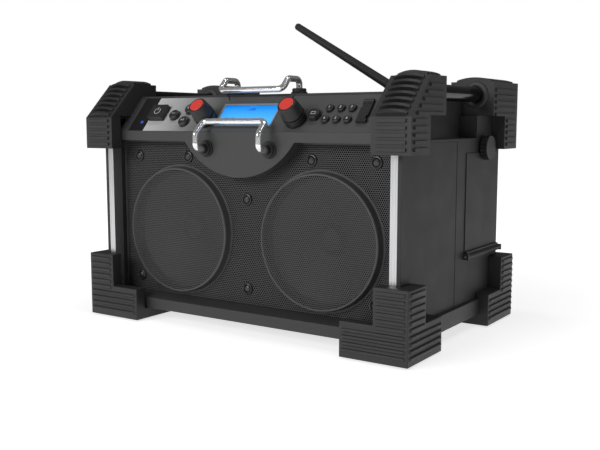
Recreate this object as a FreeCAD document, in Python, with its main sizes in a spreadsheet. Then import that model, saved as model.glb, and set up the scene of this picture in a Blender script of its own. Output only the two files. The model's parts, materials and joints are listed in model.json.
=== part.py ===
import FreeCAD, Part
import math
import os
import re
import Sketcher

# Jobsite radio in millimetres. X runs across the front, Y from front to back, Z up.
# The origin is on the floor, midway between the sides and between the front and rear guards.

doc = FreeCAD.newDocument("jobsite_radio")

# Driving sizes

SIZES = {
    "half_width": (220, "centre to the outer face of a guard"),
    "half_depth": (142.7, "centre to the front face of a guard"),
    "foot_height": (1.5, "pad under each lower guard"),
    "foot_inset": (7, "pad edge to guard face"),
    "tower_width": (39.3, "tall part of a lower guard"),
    "tower_height": (78.1, "top of the tall part"),
    "low_reach": (78, "reach of the low part along the floor"),
    "low_height": (39.3, "top of the low part"),
    "upper_width": (43.5, "upper guard across"),
    "upper_depth": (77.8, "upper guard front to back"),
    "guard_above": (15, "guard above the top of the case"),
    "upper_height": (77.6, "upper guard"),
    "overhang": (38.8, "its part that overhangs, in height"),
    "rear_width": (52.5, "upper guard at the rear across"),
    "upper_shank_depth": (41, "its part below the overhang, front to back"),
    "slope_tilt": (45.4, "front slope from level, degrees"),
    "slope_run": (40.2, "front slope, front to back"),
    "rib_height": (3.3, "width of a rib"),
    "rib_proud": (1.8, "rib above the guard face"),
    "rib_pitch": (6.95, "rib to rib"),
    "rib_margin": (3.5, "rib end to guard edge"),
    "upper_margin": (5.5, "rib end to guard edge on the upper guards"),
    "rib_root": (1, "rib sunk into the guard"),
    "dome_end": (1.8, "height of a domed rib at its ends"),
    "dome_crown": (5.2, "height of a domed rib at its middle"),
    "case_inset": (16.6, "guard face to side wall"),
    "side_wall": (4.4, "side wall"),
    "shell_wall": (3, "other moulded walls"),
    "face_inset": (34.7, "guard face to grille"),
    "post_depth": (14.5, "post front to back"),
    "back_inset": (18.7, "guard face to the rear of the case"),
    "cover_inset": (39, "guard face to the edge of the top cover"),
    "post_inset": (14.7, "guard face to the front of the posts"),
    "post_width": (8.3, "aluminium post across"),
    "case_bottom": (14.5, "underside of the case"),
    "rail_top": (33, "top of the side rails"),
    "rail_proud": (5, "side rail beyond the side wall"),
    "front_rail_top": (27.6, "top of the front face of the front rail"),
    "front_rail_ridge": (32.4, "top of its sloped upper face"),
    "front_rail_depth": (17.5, "rail in front of the grille"),
    "seam_place": (3.6, "seam between front and rear shell"),
    "pocket_depth": (49, "top of the case to the floor of a hand pocket"),
    "pocket_inset": (84.7, "rear guard face to the rear end of a hand pocket"),
    "ramp_turn": (10.1, "ramp in a hand pocket, turned from the side, degrees"),
    "ramp_lean": (21.7, "ramp in a hand pocket, leant from upright, degrees"),
    "deck_rise": (41.6, "bend to the flat top"),
    "fascia_inset": (16.7, "guard face to the fascia"),
    "band_height": (10.9, "front band under the bend"),
    "bend_height": (228.4, "bend between front band and sloped deck"),
    "deck_tilt": (49, "deck slope from level, degrees"),
    "shield_drop": (39.5, "shield below the band"),
    "shield_radius": (92.6, "radius of its lower edge"),
    "grille_sheet": (1.5, "grille sheet"),
    "speaker_inset": (82.5, "edge of the top cover to a speaker"),
    "speaker_drop": (5.5, "speaker below the middle of the grille"),
    "disc_radius": (75, "embossed disc at its foot"),
    "disc_bevel": (1.5, "bevel of the disc"),
    "disc_proud": (9, "disc in front of the grille"),
    "woofer_hole": (71, "radius of the hole in the baffle"),
    "woofer_flange": (79, "radius of the woofer's flange"),
    "woofer_depth": (58, "flange to the back of the magnet"),
    "magnet_radius": (42, "woofer magnet"),
    "magnet_length": (18, "woofer magnet"),
    "cone_mouth": (62, "radius of the paper cone"),
    "handle_radius": (8.75, "handle tube"),
    "handle_bore": (6.75, "inside of the handle tube"),
    "handle_inset": (22, "guard face to the handle"),
    "handle_socket": (18, "handle length held in each guard"),
    "rod_radius": (3.5, "chrome roll bars"),
    "rod_bend": (6, "bend radius of the rods"),
    "bar_inset": (137.5, "edge of the top cover to a leg"),
    "bar_reach": (18.5, "front leg in front of the fascia"),
    "bar_boss_drop": (8, "front bosses below the band"),
    "bar_knee_drop": (2.1, "bend of the front legs below the fascia's bend"),
    "bar_clear": (11.4, "crossbar above the deck"),
    "bar_along": (5.2, "front crossbar along the deck"),
    "top_boss_back": (22.1, "top bosses behind the deck's upper edge"),
    "top_bar_rise": (16.5, "top bar above the top of the case"),
    "top_bar_reach": (21.8, "level part of the top bar"),
    "top_bar_along": (51.6, "top crossbar along the deck"),
    "top_bar_clear": (11.35, "top crossbar above the deck"),
    "boss_radius": (8, "rubber boss at its foot"),
    "boss_height": (6.5, "boss at the foot"),
    "collar_radius": (5.2, "collar of a boss"),
    "collar_height": (4, "collar of a boss"),
    "knob_along": (16.9, "knobs along the deck"),
    "volume_beside": (33.4, "menu button to the volume knob"),
    "tuning_beside": (21.3, "hexagonal button to the tuning knob"),
    "knob_radius": (12.8, "knob skirt"),
    "knob_waist": (12.5, "foot of the tapered part"),
    "knob_top": (10.3, "knob top"),
    "skirt_height": (6.5, "knob skirt"),
    "knob_height": (25.8, "knob top above the deck"),
    "cap_radius": (8.2, "red cap"),
    "cap_depth": (1.4, "red cap sunk in the knob"),
    "cap_proud": (0.4, "red cap above the knob"),
    "stem_radius": (3, "knob stem"),
    "running_gap": (0.3, "gap around what moves"),
    "shaft_gap": (0.06, "radial gap of a shaft in its bore"),
    "board_drop": (9, "control board below the deck face"),
    "board_sheet": (1.6, "circuit boards"),
    "button_root": (4, "buttons below the deck face"),
    "button_travel": (1, "travel of the buttons"),
    "power_inset": (51.4, "edge of the top cover to the power button"),
    "power_along": (26.5, "power button along the deck"),
    "power_width": (23.5, "power button across"),
    "power_length": (20.5, "power button along the deck"),
    "power_height": (6, "power button above the deck"),
    "round_radius": (6.8, "round buttons"),
    "round_height": (5, "round buttons above the deck"),
    "mode_inset": (77.9, "edge of the top cover to the mode button"),
    "mode_along": (23.1, "mode button along the deck"),
    "pair_inset": (97.4, "edge of the top cover to the equalizer and menu buttons"),
    "equalizer_along": (13.5, "equalizer button along the deck"),
    "menu_along": (32.2, "menu button along the deck"),
    "station_inset": (88, "edge of the top cover to the hexagonal button"),
    "station_along": (22.3, "hexagonal button along the deck"),
    "station_radius": (7.4, "hexagonal button over its corners"),
    "station_height": (5.5, "hexagonal button above the deck"),
    "preset_inset": (73.2, "edge of the top cover to the first preset button"),
    "preset_spread": (13.5, "column to column"),
    "preset_low": (16.7, "lower row along the deck"),
    "preset_high": (32, "upper row along the deck"),
    "preset_radius": (4.5, "preset buttons"),
    "preset_height": (3.2, "preset buttons above the deck"),
    "volume_to_bezel": (13.5, "volume knob to the bezel"),
    "tuning_to_bezel": (29.5, "tuning knob to the bezel"),
    "display_low": (7.6, "bezel, lower edge along the deck"),
    "display_high": (40.7, "bezel, upper edge along the deck"),
    "bezel_rim": (2, "width of the bezel's rim"),
    "bezel_proud": (0.8, "bezel above the deck"),
    "lens_sheet": (1.5, "display window"),
    "module_depth": (4, "display module"),
    "lamp_inset": (29.6, "edge of the top cover to the pilot lamp"),
    "lamp_along": (13.9, "pilot lamp along the deck"),
    "lamp_radius": (1.7, "pilot lamp"),
    "flap_inset": (29.2, "edge of the top cover to the socket flap"),
    "flap_low": (12.2, "socket flap, lower end along the deck"),
    "flap_high": (39.5, "socket flap, upper end along the deck"),
    "flap_width": (11.5, "socket flap"),
    "flap_height": (3.4, "socket flap above the deck"),
    "flap_barrel": (1.9, "radius of the flap's hinge roll"),
    "jack_radius": (5, "auxiliary socket"),
    "jack_bore": (1.8, "hole of the auxiliary socket"),
    "door_width": (96.1, "compartment door front to back"),
    "door_proud_back": (0.5, "door's rear edge behind the rear of the case"),
    "door_above": (51.7, "compartment door above the low guards"),
    "door_drop": (2.9, "door below the upper guard"),
    "door_sheet": (3.4, "compartment door"),
    "door_proud": (1, "door beyond the side wall"),
    "door_lip": (3.2, "lip that the door rests on"),
    "hinge_out": (3.7, "hinge axis beyond the side wall"),
    "hinge_drop": (3.5, "hinge axis below the door's edge"),
    "hinge_radius": (3.3, "hinge barrel"),
    "pin_radius": (1.5, "hinge pins"),
    "lug_width": (3.5, "hinge lugs"),
    "latch_above": (5, "thumb screw above the door's edge"),
    "latch_radius": (14, "thumb screw head"),
    "latch_head": (8, "thumb screw head, thickness"),
    "latch_shank": (2.5, "thumb screw shank"),
    "latch_notch": (1.1, "radius of the grip notches"),
    "latch_notches": (20, "grip notches"),
    "tab_half": (8, "half the width of the door's tab"),
    "tab_sheet": (2, "tab of the door"),
    "box_margin": (6, "compartment to the rear post"),
    "box_depth": (45, "depth of the compartment"),
    "box_wall": (2, "compartment wall"),
    "whip_inset": (98.6, "edge of the top cover to the antenna"),
    "whip_margin": (24, "rear of the case to the antenna"),
    "whip_above": (7, "antenna pivot above the top of the case"),
    "swivel_stem": (4, "radius of the turret's stem"),
    "stem_length": (8, "stem of the turret"),
    "whip_tilt": (30.1, "antenna from level, degrees"),
    "whip_length": (181, "pivot to tip"),
    "whip_root_radius": (6.1, "antenna at its root"),
    "whip_tip_radius": (4.7, "antenna at its tip"),
    "whip_start": (9, "pivot to the rubber sleeve"),
    "knuckle_radius": (4.6, "antenna knuckle"),
    "knuckle_half": (5.2, "half its width"),
    "ear_sheet": (2.6, "ears of the turret"),
    "turret_radius": (11, "antenna turret"),
    "turret_proud": (1.4, "turret above the top cover"),
    "turret_depth": (4, "turret below the top cover"),
    "socket_radius": (15, "turret socket under the cover"),
    "panel_inset": (80, "guard face to the side of the rear panel"),
    "panel_above": (8.7, "rear panel above the low guards"),
    "panel_drop": (11.4, "rear panel below the upper guards"),
    "panel_sheet": (2.5, "rear panel"),
    "inlet_inset": (36, "side of the rear panel to the mains inlet"),
    "inlet_above": (24, "mains inlet above the panel's lower edge"),
    "inlet_width": (27, "mains inlet"),
    "inlet_tall": (20, "mains inlet"),
    "inlet_depth": (18, "mains inlet"),
    "inlet_wall": (2, "wall of the inlet"),
    "screw_head": (4.2, "radius of a grille screw's head"),
    "screw_dome": (2.4, "height of its head"),
    "screw_shank": (1.5, "radius of its shank"),
    "screw_length": (9, "length of its shank"),
    "screw_beyond": (66.5, "speaker out to the outer screws"),
    "screw_within": (12, "speaker in to the inner screws"),
    "screw_above": (86.5, "speaker up to the upper screws"),
    "screw_below": (61.2, "speaker down to the lower screws"),
    "screw_between": (40.6, "speaker up to the upper middle screw"),
    "amp_width": (130, "amplifier board"),
    "amp_shift": (60, "amplifier board left of the middle"),
    "amp_margin": (8, "amplifier board to the rear wall"),
    "foot_margin": (5, "board edge to a standoff"),
    "standoff_radius": (3, "standoffs"),
    "sink_margin": (14, "heat sink to the rear wall"),
    "sink_depth": (16, "heat sink"),
    "sink_end": (10, "board end to the heat sink"),
    "amp_depth": (62, "amplifier board"),
    "standoff": (6, "standoffs of the amplifier board"),
    "sink_height": (32, "heat sink"),
    "core_side": (70, "transformer right of the middle"),
    "core_front": (20, "transformer behind the middle"),
    "core_flange": (8, "transformer's mounting flange"),
    "core_margin": (6, "flange in from the core"),
    "core_width": (64, "transformer"),
    "core_depth": (52, "transformer"),
    "core_height": (54, "transformer"),
}

sheet = doc.addObject("Spreadsheet::Sheet", "Size")
for row, (alias, (value, meaning)) in enumerate(SIZES.items(), start=1):
    sheet.set("A%d" % row, alias)
    sheet.set("B%d" % row, str(value))
    sheet.set("C%d" % row, meaning)
    sheet.setAlias("B%d" % row, alias)
doc.recompute()

# Places that follow from the driving sizes

FOLLOWING = {
    "deck_top": "bend_height + deck_rise",
    "guard_top": "deck_top + guard_above",
    "upper_bottom": "guard_top - upper_height",
    "upper_step": "guard_top - overhang",
    "case_half": "half_width - case_inset",
    "cover_half": "half_width - cover_inset",
    "face_plane": "half_depth - face_inset",
    "post_front": "half_depth - post_inset",
    "post_back": "post_front - post_depth",
    "back_plane": "half_depth - back_inset",
    "fascia_front": "half_depth - fascia_inset",
    "fascia_bottom": "bend_height - band_height",
    "pocket_floor": "deck_top - pocket_depth",
    "pocket_front": "half_depth - upper_depth",
    "pocket_rear": "half_depth - pocket_inset",
    "shield_low": "fascia_bottom - shield_drop",
    "grille_top": "fascia_bottom",
    "speaker_side": "cover_half - speaker_inset",
    "speaker_height": "(tray_top + fascia_bottom) / 2 - speaker_drop",
    "handle_side": "half_width - handle_inset",
    "handle_height": "deck_top",
    "bar_front": "fascia_front + bar_reach",
    "bar_boss_height": "fascia_bottom - bar_boss_drop",
    "bar_knee": "bend_height - bar_knee_drop",
    "power_side": "power_inset - cover_half",
    "mode_side": "mode_inset - cover_half",
    "pair_side": "pair_inset - cover_half",
    "volume_side": "pair_side + volume_beside",
    "tuning_side": "station_side - tuning_beside",
    "display_left": "volume_side + volume_to_bezel",
    "display_right": "tuning_side - tuning_to_bezel",
    "bar_half": "cover_half - bar_inset",
    "lamp_side": "lamp_inset - cover_half",
    "station_side": "cover_half - station_inset",
    "preset_side": "cover_half - preset_inset",
    "flap_side": "cover_half - flap_inset",
    "door_back": "back_plane + door_proud_back",
    "door_front": "door_back - door_width",
    "door_high": "upper_bottom - door_drop",
    "door_low": "low_height + door_above",
    "latch_height": "door_high + latch_above",
    "box_back": "post_back - box_margin",
    "whip_side": "cover_half - whip_inset",
    "whip_back": "back_plane - whip_margin",
    "whip_height": "deck_top + whip_above",
    "panel_half": "half_width - panel_inset",
    "panel_low": "low_height + panel_above",
    "panel_high": "upper_bottom - panel_drop",
    "inlet_side": "inlet_inset - panel_half",
    "inlet_height": "panel_low + inlet_above",
    "screw_side": "speaker_side + screw_beyond",
    "screw_inner": "speaker_side - screw_within",
    "screw_high": "speaker_height + screw_above",
    "screw_low": "speaker_height - screw_below",
    "screw_middle": "speaker_height + screw_between",
    "wall_inner": "case_half - side_wall",
    "post_inner": "wall_inner - post_width",
    "tray_top": "case_bottom + shell_wall",
    "ledge": "pocket_floor - shell_wall",
    "slope_start": "guard_top - slope_run * tan(slope_tilt)",
    "door_middle": "(door_front + door_back) / 2",
    "deck_long": "deck_rise / sin(deck_tilt)",
    "deck_edge": "deck_rise / tan(deck_tilt) - fascia_front",
    "flap_middle": "(flap_low + flap_high) / 2",
}

WORD = re.compile(r"[A-Za-z_]+")
UPRIGHT = "rotation(vector(0; 0; 1); 0)"
ALONG_X = "rotation(vector(0; 1; 0); 90)"
ALONG_Y = "rotation(vector(1; 0; 0); -90)"
SIDE_VIEW = "rotation(vector(1; 1; 1); 120)"
FRONT_VIEW = "rotation(vector(1; 0; 0); 90)"
ON_DECK = "rotation(vector(1; 0; 0); deck_tilt)"

NODES = []


def bound(text):
    """The expression with every size taken from the sheet."""
    return WORD.sub(lambda match: spelled(match.group(0)), str(text))


def spelled(word):
    if word in FOLLOWING:
        return "(%s)" % bound(FOLLOWING[word])
    return "Size." + word if word in SIZES else word


def size(alias):
    """The value of one size, driving or following."""
    return sheet_value(alias)


def bind(thing, **sizes):
    for name, text in sizes.items():
        thing.setExpression(name, bound(text))
    return thing


def put(thing, spot, turn=UPRIGHT):
    """Place a thing at three expressions, turned by a rotation expression."""
    spot_text = "vector(%s; %s; %s)" % tuple(spot)
    return bind(thing, Placement="placement(%s; %s)" % (spot_text, turn))


def deck_spot(across, along, above):
    """Point of the deck: across the front, up the slope, and above its face."""
    back = "-fascia_front + (%s) * cos(deck_tilt) - (%s) * sin(deck_tilt)" % (along, above)
    up = "bend_height + (%s) * sin(deck_tilt) + (%s) * cos(deck_tilt)" % (along, above)
    return across, back, up


def node(label, thing):
    thing.Label = label
    NODES.append(thing)
    return thing


def block(low, high):
    """Box between two corners given as expressions."""
    box = doc.addObject("Part::Box", "block")
    spans = ["(%s) - (%s)" % (b, a) for a, b in zip(low, high)]
    bind(box, Length=spans[0], Width=spans[1], Height=spans[2])
    return put(box, low)


def deck_block(low, high):
    """Box in the deck's own directions: across, along the slope, above the face."""
    box = doc.addObject("Part::Box", "deck_block")
    spans = ["(%s) - (%s)" % (b, a) for a, b in zip(low, high)]
    bind(box, Length=spans[0], Width=spans[1], Height=spans[2])
    return put(box, deck_spot(*low), ON_DECK)


def rod(spot, radius, length, turn=UPRIGHT):
    cylinder = doc.addObject("Part::Cylinder", "rod")
    bind(cylinder, Radius=radius, Height=length)
    return put(cylinder, spot, turn)


def deck_rod(across, along, low, high, radius):
    return rod(deck_spot(across, along, low), radius, "(%s) - (%s)" % (high, low), ON_DECK)


def frustum(spot, radius_low, radius_high, length, turn=UPRIGHT):
    cone = doc.addObject("Part::Cone", "frustum")
    bind(cone, Radius1=radius_low, Radius2=radius_high, Height=length)
    return put(cone, spot, turn)


def join(*things):
    fuse = doc.addObject("Part::MultiFuse", "join")
    fuse.Shapes = list(things)
    return fuse


def group(*things):
    compound = doc.addObject("Part::Compound", "group")
    compound.Links = list(things)
    return compound


def cut(base, *tools):
    result = doc.addObject("Part::Cut", "cut")
    result.Base = base
    result.Tool = tools[0] if len(tools) == 1 else join(*tools)
    return result


def mirror(thing, normal):
    copy = doc.addObject("Part::Mirroring", "mirror")
    copy.Source = thing
    copy.Normal = FreeCAD.Vector(*normal)
    return copy


def polygon(sketch, points):
    """Closed outline whose corners are bound to pairs of expressions."""
    corners = []
    for across, up in points:
        corners.append((sheet_value(across), sheet_value(up)))
    count = len(corners)
    for index in range(count):
        start = FreeCAD.Vector(*corners[index], 0)
        end = FreeCAD.Vector(*corners[(index + 1) % count], 0)
        sketch.addGeometry(Part.LineSegment(start, end), False)
    for index in range(count):
        sketch.addConstraint(Sketcher.Constraint("Coincident", index, 2, (index + 1) % count, 1))
    for index, (across, up) in enumerate(points):
        pin_corner(sketch, index, "DistanceX", across, corners[index][0])
        pin_corner(sketch, index, "DistanceY", up, corners[index][1])
    return sketch


def pin_corner(sketch, index, kind, text, value):
    number = sketch.addConstraint(Sketcher.Constraint(kind, -1, 1, index, 1, value))
    name = "%s%d" % (kind, index)
    sketch.renameConstraint(number, name)
    sketch.setExpression("Constraints." + name, bound(text))


def sheet_value(text):
    """The number that an expression of driving sizes gives."""
    return float(sheet.evalExpression(bound(text)))


def outline(points, spot, turn):
    sketch = doc.addObject("Sketcher::SketchObject", "outline")
    put(sketch, spot, turn)
    return polygon(sketch, points)


def slab(points, spot, turn, length):
    """Outline pushed out along its normal."""
    push = doc.addObject("Part::Extrusion", "slab")
    push.Base = outline(points, spot, turn)
    push.DirMode = "Normal"
    push.Solid = True
    return bind(push, LengthFwd=length)


def side_slab(points, left, right):
    """Side-view outline, points as (y, z), between two x values."""
    return slab(points, (left, "0", "0"), SIDE_VIEW, "(%s) - (%s)" % (right, left))


def plane_of(body, role):
    return [feature for feature in body.Origin.OriginFeatures if feature.Role == role][0]


def turned(points, spot, turn=UPRIGHT):
    """Body of revolution about its own Z, points as (radius, height)."""
    body = doc.addObject("PartDesign::Body", "turned")
    sketch = body.newObject("Sketcher::SketchObject", "profile")
    sketch.AttachmentSupport = (plane_of(body, "XZ_Plane"), [""])
    sketch.MapMode = "FlatFace"
    polygon(sketch, points)
    doc.recompute()
    turn_feature = body.newObject("PartDesign::Revolution", "turn")
    turn_feature.Profile = sketch
    turn_feature.ReferenceAxis = (sketch, ["V_Axis"])
    turn_feature.Angle = 360
    body.Tip = turn_feature
    return put(body, spot, turn)


# Corner guards

def rib(low, high):
    return block(low, high)


def domed_rib(spot, turn, width):
    """Rib across an upper guard that is highest at its middle."""
    span = "%s / 2 - upper_margin" % width
    half = sheet_value(span)
    end, crown = size("dome_end"), size("dome_crown")
    sketch = doc.addObject("Sketcher::SketchObject", "dome")
    put(sketch, spot, turn)
    root = -size("rib_root")
    corners = [(-half, root), (half, root), (half, end), (-half, end)]
    for first, second in ((0, 1), (1, 2), (3, 0)):
        start = FreeCAD.Vector(*corners[first], 0)
        sketch.addGeometry(Part.LineSegment(start, FreeCAD.Vector(*corners[second], 0)), False)
    top = FreeCAD.Vector(0, crown, 0)
    arc = Part.Arc(FreeCAD.Vector(half, end, 0), top, FreeCAD.Vector(-half, end, 0))
    sketch.addGeometry(arc, False)
    sketch.addConstraint(Sketcher.Constraint("Coincident", 0, 2, 1, 1))
    sketch.addConstraint(Sketcher.Constraint("Coincident", 1, 2, 3, 1))
    sketch.addConstraint(Sketcher.Constraint("Coincident", 3, 2, 2, 1))
    sketch.addConstraint(Sketcher.Constraint("Coincident", 2, 2, 0, 1))
    dome_radius = "((%s)^2 + (dome_crown - dome_end)^2) / (2 * (dome_crown - dome_end))" % span
    pin_corner(sketch, 0, "DistanceX", "-(%s)" % span, -half)
    pin_corner(sketch, 0, "DistanceY", "-rib_root", root)
    pin_corner(sketch, 1, "DistanceX", span, half)
    pin_corner(sketch, 1, "DistanceY", "-rib_root", root)
    pin_corner(sketch, 2, "DistanceX", "-(%s)" % span, -half)
    pin_corner(sketch, 2, "DistanceY", "dome_end", end)
    sketch.addConstraint(Sketcher.Constraint("Vertical", 1))
    number = sketch.addConstraint(Sketcher.Constraint("Radius", 3, sheet_value(dome_radius)))
    sketch.renameConstraint(number, "bow")
    sketch.setExpression("Constraints.bow", bound(dome_radius))
    push = doc.addObject("Part::Extrusion", "domed_rib")
    push.Base = sketch
    push.DirMode = "Normal"
    push.Solid = True
    return bind(push, LengthFwd="rib_height")


LOWER_RIBS = 10
LOWER_SHORT_RIBS = 6
SHANK_RIBS = 5
UPPER_RIBS = 10
SLOPE_RIBS = 7


def lower_guard():
    """Front right lower guard: a tall corner on a low foot, hollowed for the case."""
    low_x, low_y = "half_width - low_reach", "low_reach - half_depth"
    foot = block(("%s + foot_inset" % low_x, "-half_depth + foot_inset", "0"),
                 ("half_width - foot_inset", "%s - foot_inset" % low_y, "foot_height + rib_root"))
    base = block((low_x, "-half_depth", "foot_height"), ("half_width", low_y, "low_height"))
    tower = block(("half_width - tower_width", "-half_depth", "foot_height"),
                  ("half_width", "tower_width - half_depth", "tower_height"))
    ribs = []
    for count in range(LOWER_RIBS):
        middle = "tower_height - 5.5 - %d * rib_pitch" % count
        bottom, top = "%s - rib_height / 2" % middle, "%s + rib_height / 2" % middle
        short = count < LOWER_SHORT_RIBS
        reach = "tower_width" if short else "low_reach"
        ribs.append(rib(("half_width - %s + rib_margin" % reach, "-half_depth - rib_proud", bottom),
                        ("half_width - rib_margin", "-half_depth + rib_root", top)))
        ribs.append(rib(("half_width - rib_root", "-half_depth + rib_margin", bottom),
                        ("half_width + rib_proud", "%s - half_depth - rib_margin" % reach, top)))
    inside = block(("0", "-post_front", "case_bottom"), ("case_half", "0", "guard_top"))
    return cut(join(foot, base, tower, *ribs), inside)


def upper_ribs(slope, width):
    """Ribs on the front and the side of an upper guard, before any mirroring."""
    ribs = []
    for count in range(UPPER_RIBS):
        middle = "upper_bottom + 5.3 + %d * rib_pitch" % count
        bottom, top = "%s - rib_height / 2" % middle, "%s + rib_height / 2" % middle
        if count < SHANK_RIBS or not slope:
            ribs.append(rib(("half_width - %s + upper_margin" % width, "-half_depth - rib_proud", bottom),
                            ("half_width - upper_margin", "-half_depth + rib_root", top)))
        start = "-half_depth + upper_margin"
        if slope and count >= SHANK_RIBS:
            start += " + (%s - %s) / tan(slope_tilt) + 1" % (top, "slope_start")
        depth = "upper_shank_depth" if count < SHANK_RIBS else "upper_depth"
        ribs.append(rib(("half_width - rib_root", start, bottom),
                        ("half_width + rib_proud", "%s - half_depth - upper_margin" % depth, top)))
    return ribs


def guard_top_ribs(first, last, count, width):
    """Domed ribs across the flat top, from one y to another."""
    ribs = []
    for index in range(count):
        place = "%s + (%s - (%s)) * %d / %d" % (first, last, first, index, max(count - 1, 1))
        spot = ("half_width - %s / 2" % width, place, "guard_top")
        ribs.append(domed_rib(spot, FRONT_VIEW, width))
    return ribs


def upper_guard(slope, width):
    """Right upper guard at the front, with or without the sloped front."""
    outline_points = [("-half_depth", "upper_bottom"),
                      ("upper_shank_depth - half_depth", "upper_bottom"),
                      ("upper_shank_depth - half_depth", "upper_step"),
                      ("upper_depth - half_depth", "upper_step"),
                      ("upper_depth - half_depth", "guard_top")]
    if slope:
        outline_points += [("slope_run - half_depth", "guard_top"), ("-half_depth", "slope_start")]
        first_top = "slope_run - half_depth + rib_pitch"
        top_count = 5
    else:
        outline_points += [("-half_depth", "guard_top")]
        first_top = "-half_depth + rib_margin + rib_height"
        top_count = 11
    blank = side_slab(outline_points, "half_width - " + width, "half_width")
    ribs = upper_ribs(slope, width)
    ribs += guard_top_ribs(first_top, "(upper_depth - half_depth - rib_margin)", top_count, width)
    if slope:
        long = "(slope_run / cos(slope_tilt))"
        for index in range(SLOPE_RIBS):
            along = "((%d + 0.5) * %s / %d - rib_height / 2)" % (index, long, SLOPE_RIBS)
            spot = ("half_width - %s / 2" % width,
                    "-half_depth + (%s + rib_height) * cos(slope_tilt)" % along,
                    "%s + (%s + rib_height) * sin(slope_tilt)" % ("slope_start", along))
            ribs.append(domed_rib(spot, "rotation(vector(1; 0; 0); 90 + slope_tilt)", width))
    inside = block(("0", "-post_front", "0"), ("case_half", "0", "upper_step"))
    socket = rod(("handle_side", "upper_depth - half_depth - handle_socket", "handle_height"),
                 "handle_radius", "2 * handle_socket", ALONG_Y)
    cover = [("-fascia_front", "0"), ("-fascia_front", "bend_height"), ("deck_edge", "deck_top"),
             ("0", "deck_top"), ("0", "0")]
    if not slope:
        cover = [("-back_plane", "0"), ("-back_plane", "deck_top"), ("0", "deck_top"), ("0", "0")]
    return cut(join(blank, *ribs), inside, socket, side_slab(cover, "0", "cover_half"))


def guards():
    front_right = node("lower_guard_front_right", lower_guard())
    front_left = node("lower_guard_front_left", mirror(front_right, (1, 0, 0)))
    node("lower_guard_rear_right", mirror(front_right, (0, 1, 0)))
    node("lower_guard_rear_left", mirror(front_left, (0, 1, 0)))
    sloped = node("upper_guard_front_right", upper_guard(True, "upper_width"))
    node("upper_guard_front_left", mirror(sloped, (1, 0, 0)))
    square = upper_guard(False, "rear_width")
    rear_right = node("upper_guard_rear_right", mirror(square, (0, 1, 0)))
    node("upper_guard_rear_left", mirror(rear_right, (1, 0, 0)))


# Frame: posts, rails, tray and handles

def frame_pieces():
    post_out = "case_half - side_wall"
    post = block(("%s - post_width" % post_out, "-post_front", "case_bottom + shell_wall"),
                 (post_out, "-post_back", "upper_step"))
    pair = group(post, mirror(post, (1, 0, 0)))
    node("front_posts", pair)
    node("rear_posts", mirror(pair, (0, 1, 0)))

    rail_points = [("-face_plane - front_rail_depth", "case_bottom"),
                   ("-face_plane", "case_bottom"),
                   ("-face_plane", "front_rail_ridge"),
                   ("-face_plane - front_rail_depth", "front_rail_top")]
    rail_end = "(case_half - side_wall - post_width)"
    front_rail = node("front_rail", side_slab(rail_points, "-" + rail_end, rail_end))

    plate = block(("-case_half", "-face_plane", "case_bottom"),
                  ("case_half", "back_plane", "case_bottom + shell_wall"))
    side_end = "(half_depth - low_reach)"
    right_rail = block(("case_half", "-" + side_end, "case_bottom"),
                       ("case_half + rail_proud", side_end, "rail_top"))
    rear_rail = block(("-" + rail_end, "back_plane", "case_bottom"),
                      (rail_end, "back_plane + shell_wall", "rail_top"))
    node("base_tray", join(plate, right_rail, mirror(right_rail, (1, 0, 0)), rear_rail))

    handle_end = "(half_depth - upper_depth + handle_socket)"
    spot = ("handle_side", "-" + handle_end, "handle_height")
    outer = rod(spot, "handle_radius", "2 * " + handle_end, ALONG_Y)
    bore = rod(spot, "handle_bore", "2 * " + handle_end, ALONG_Y)
    handle = node("handle_tube_right", cut(outer, bore))
    node("handle_tube_left", mirror(handle, (1, 0, 0)))


# Shells



def front_shell():
    wall_points = [("-post_front", "tray_top"), ("seam_place", "tray_top"), ("seam_place", "ledge"),
                   ("-pocket_front", "ledge"), ("-pocket_front", "upper_step"),
                   ("-post_front", "upper_step")]
    wall = side_slab(wall_points, "wall_inner", "case_half")
    pocket_end = block(("cover_half", "-pocket_front - shell_wall", "ledge"),
                       ("wall_inner", "-pocket_front", "upper_step"))
    back_of_grille = "-face_plane + grille_sheet"
    baffle = block(("-" + "wall_inner", back_of_grille, "tray_top"),
                   ("wall_inner", back_of_grille + " + shell_wall", "fascia_bottom"))
    corner = block(("post_inner", "-post_back", "tray_top"),
                   ("wall_inner", back_of_grille + " + shell_wall", "upper_step"))
    shoulder = block(("cover_half", "-post_back", "upper_step - shell_wall"),
                     ("wall_inner", "-pocket_front", "upper_step"))
    holes = []
    for side in ("-speaker_side", "speaker_side"):
        holes.append(rod((side, "-face_plane", "speaker_height"), "woofer_hole",
                         "3 * shell_wall", ALONG_Y))
    for across, up in screw_spots():
        holes.append(rod((across, "-face_plane", up), "screw_shank", "3 * shell_wall", ALONG_Y))
    side = join(wall, pocket_end, corner, shoulder)
    node("front_shell", cut(join(baffle, side, mirror(side, (1, 0, 0))), *holes))


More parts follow.
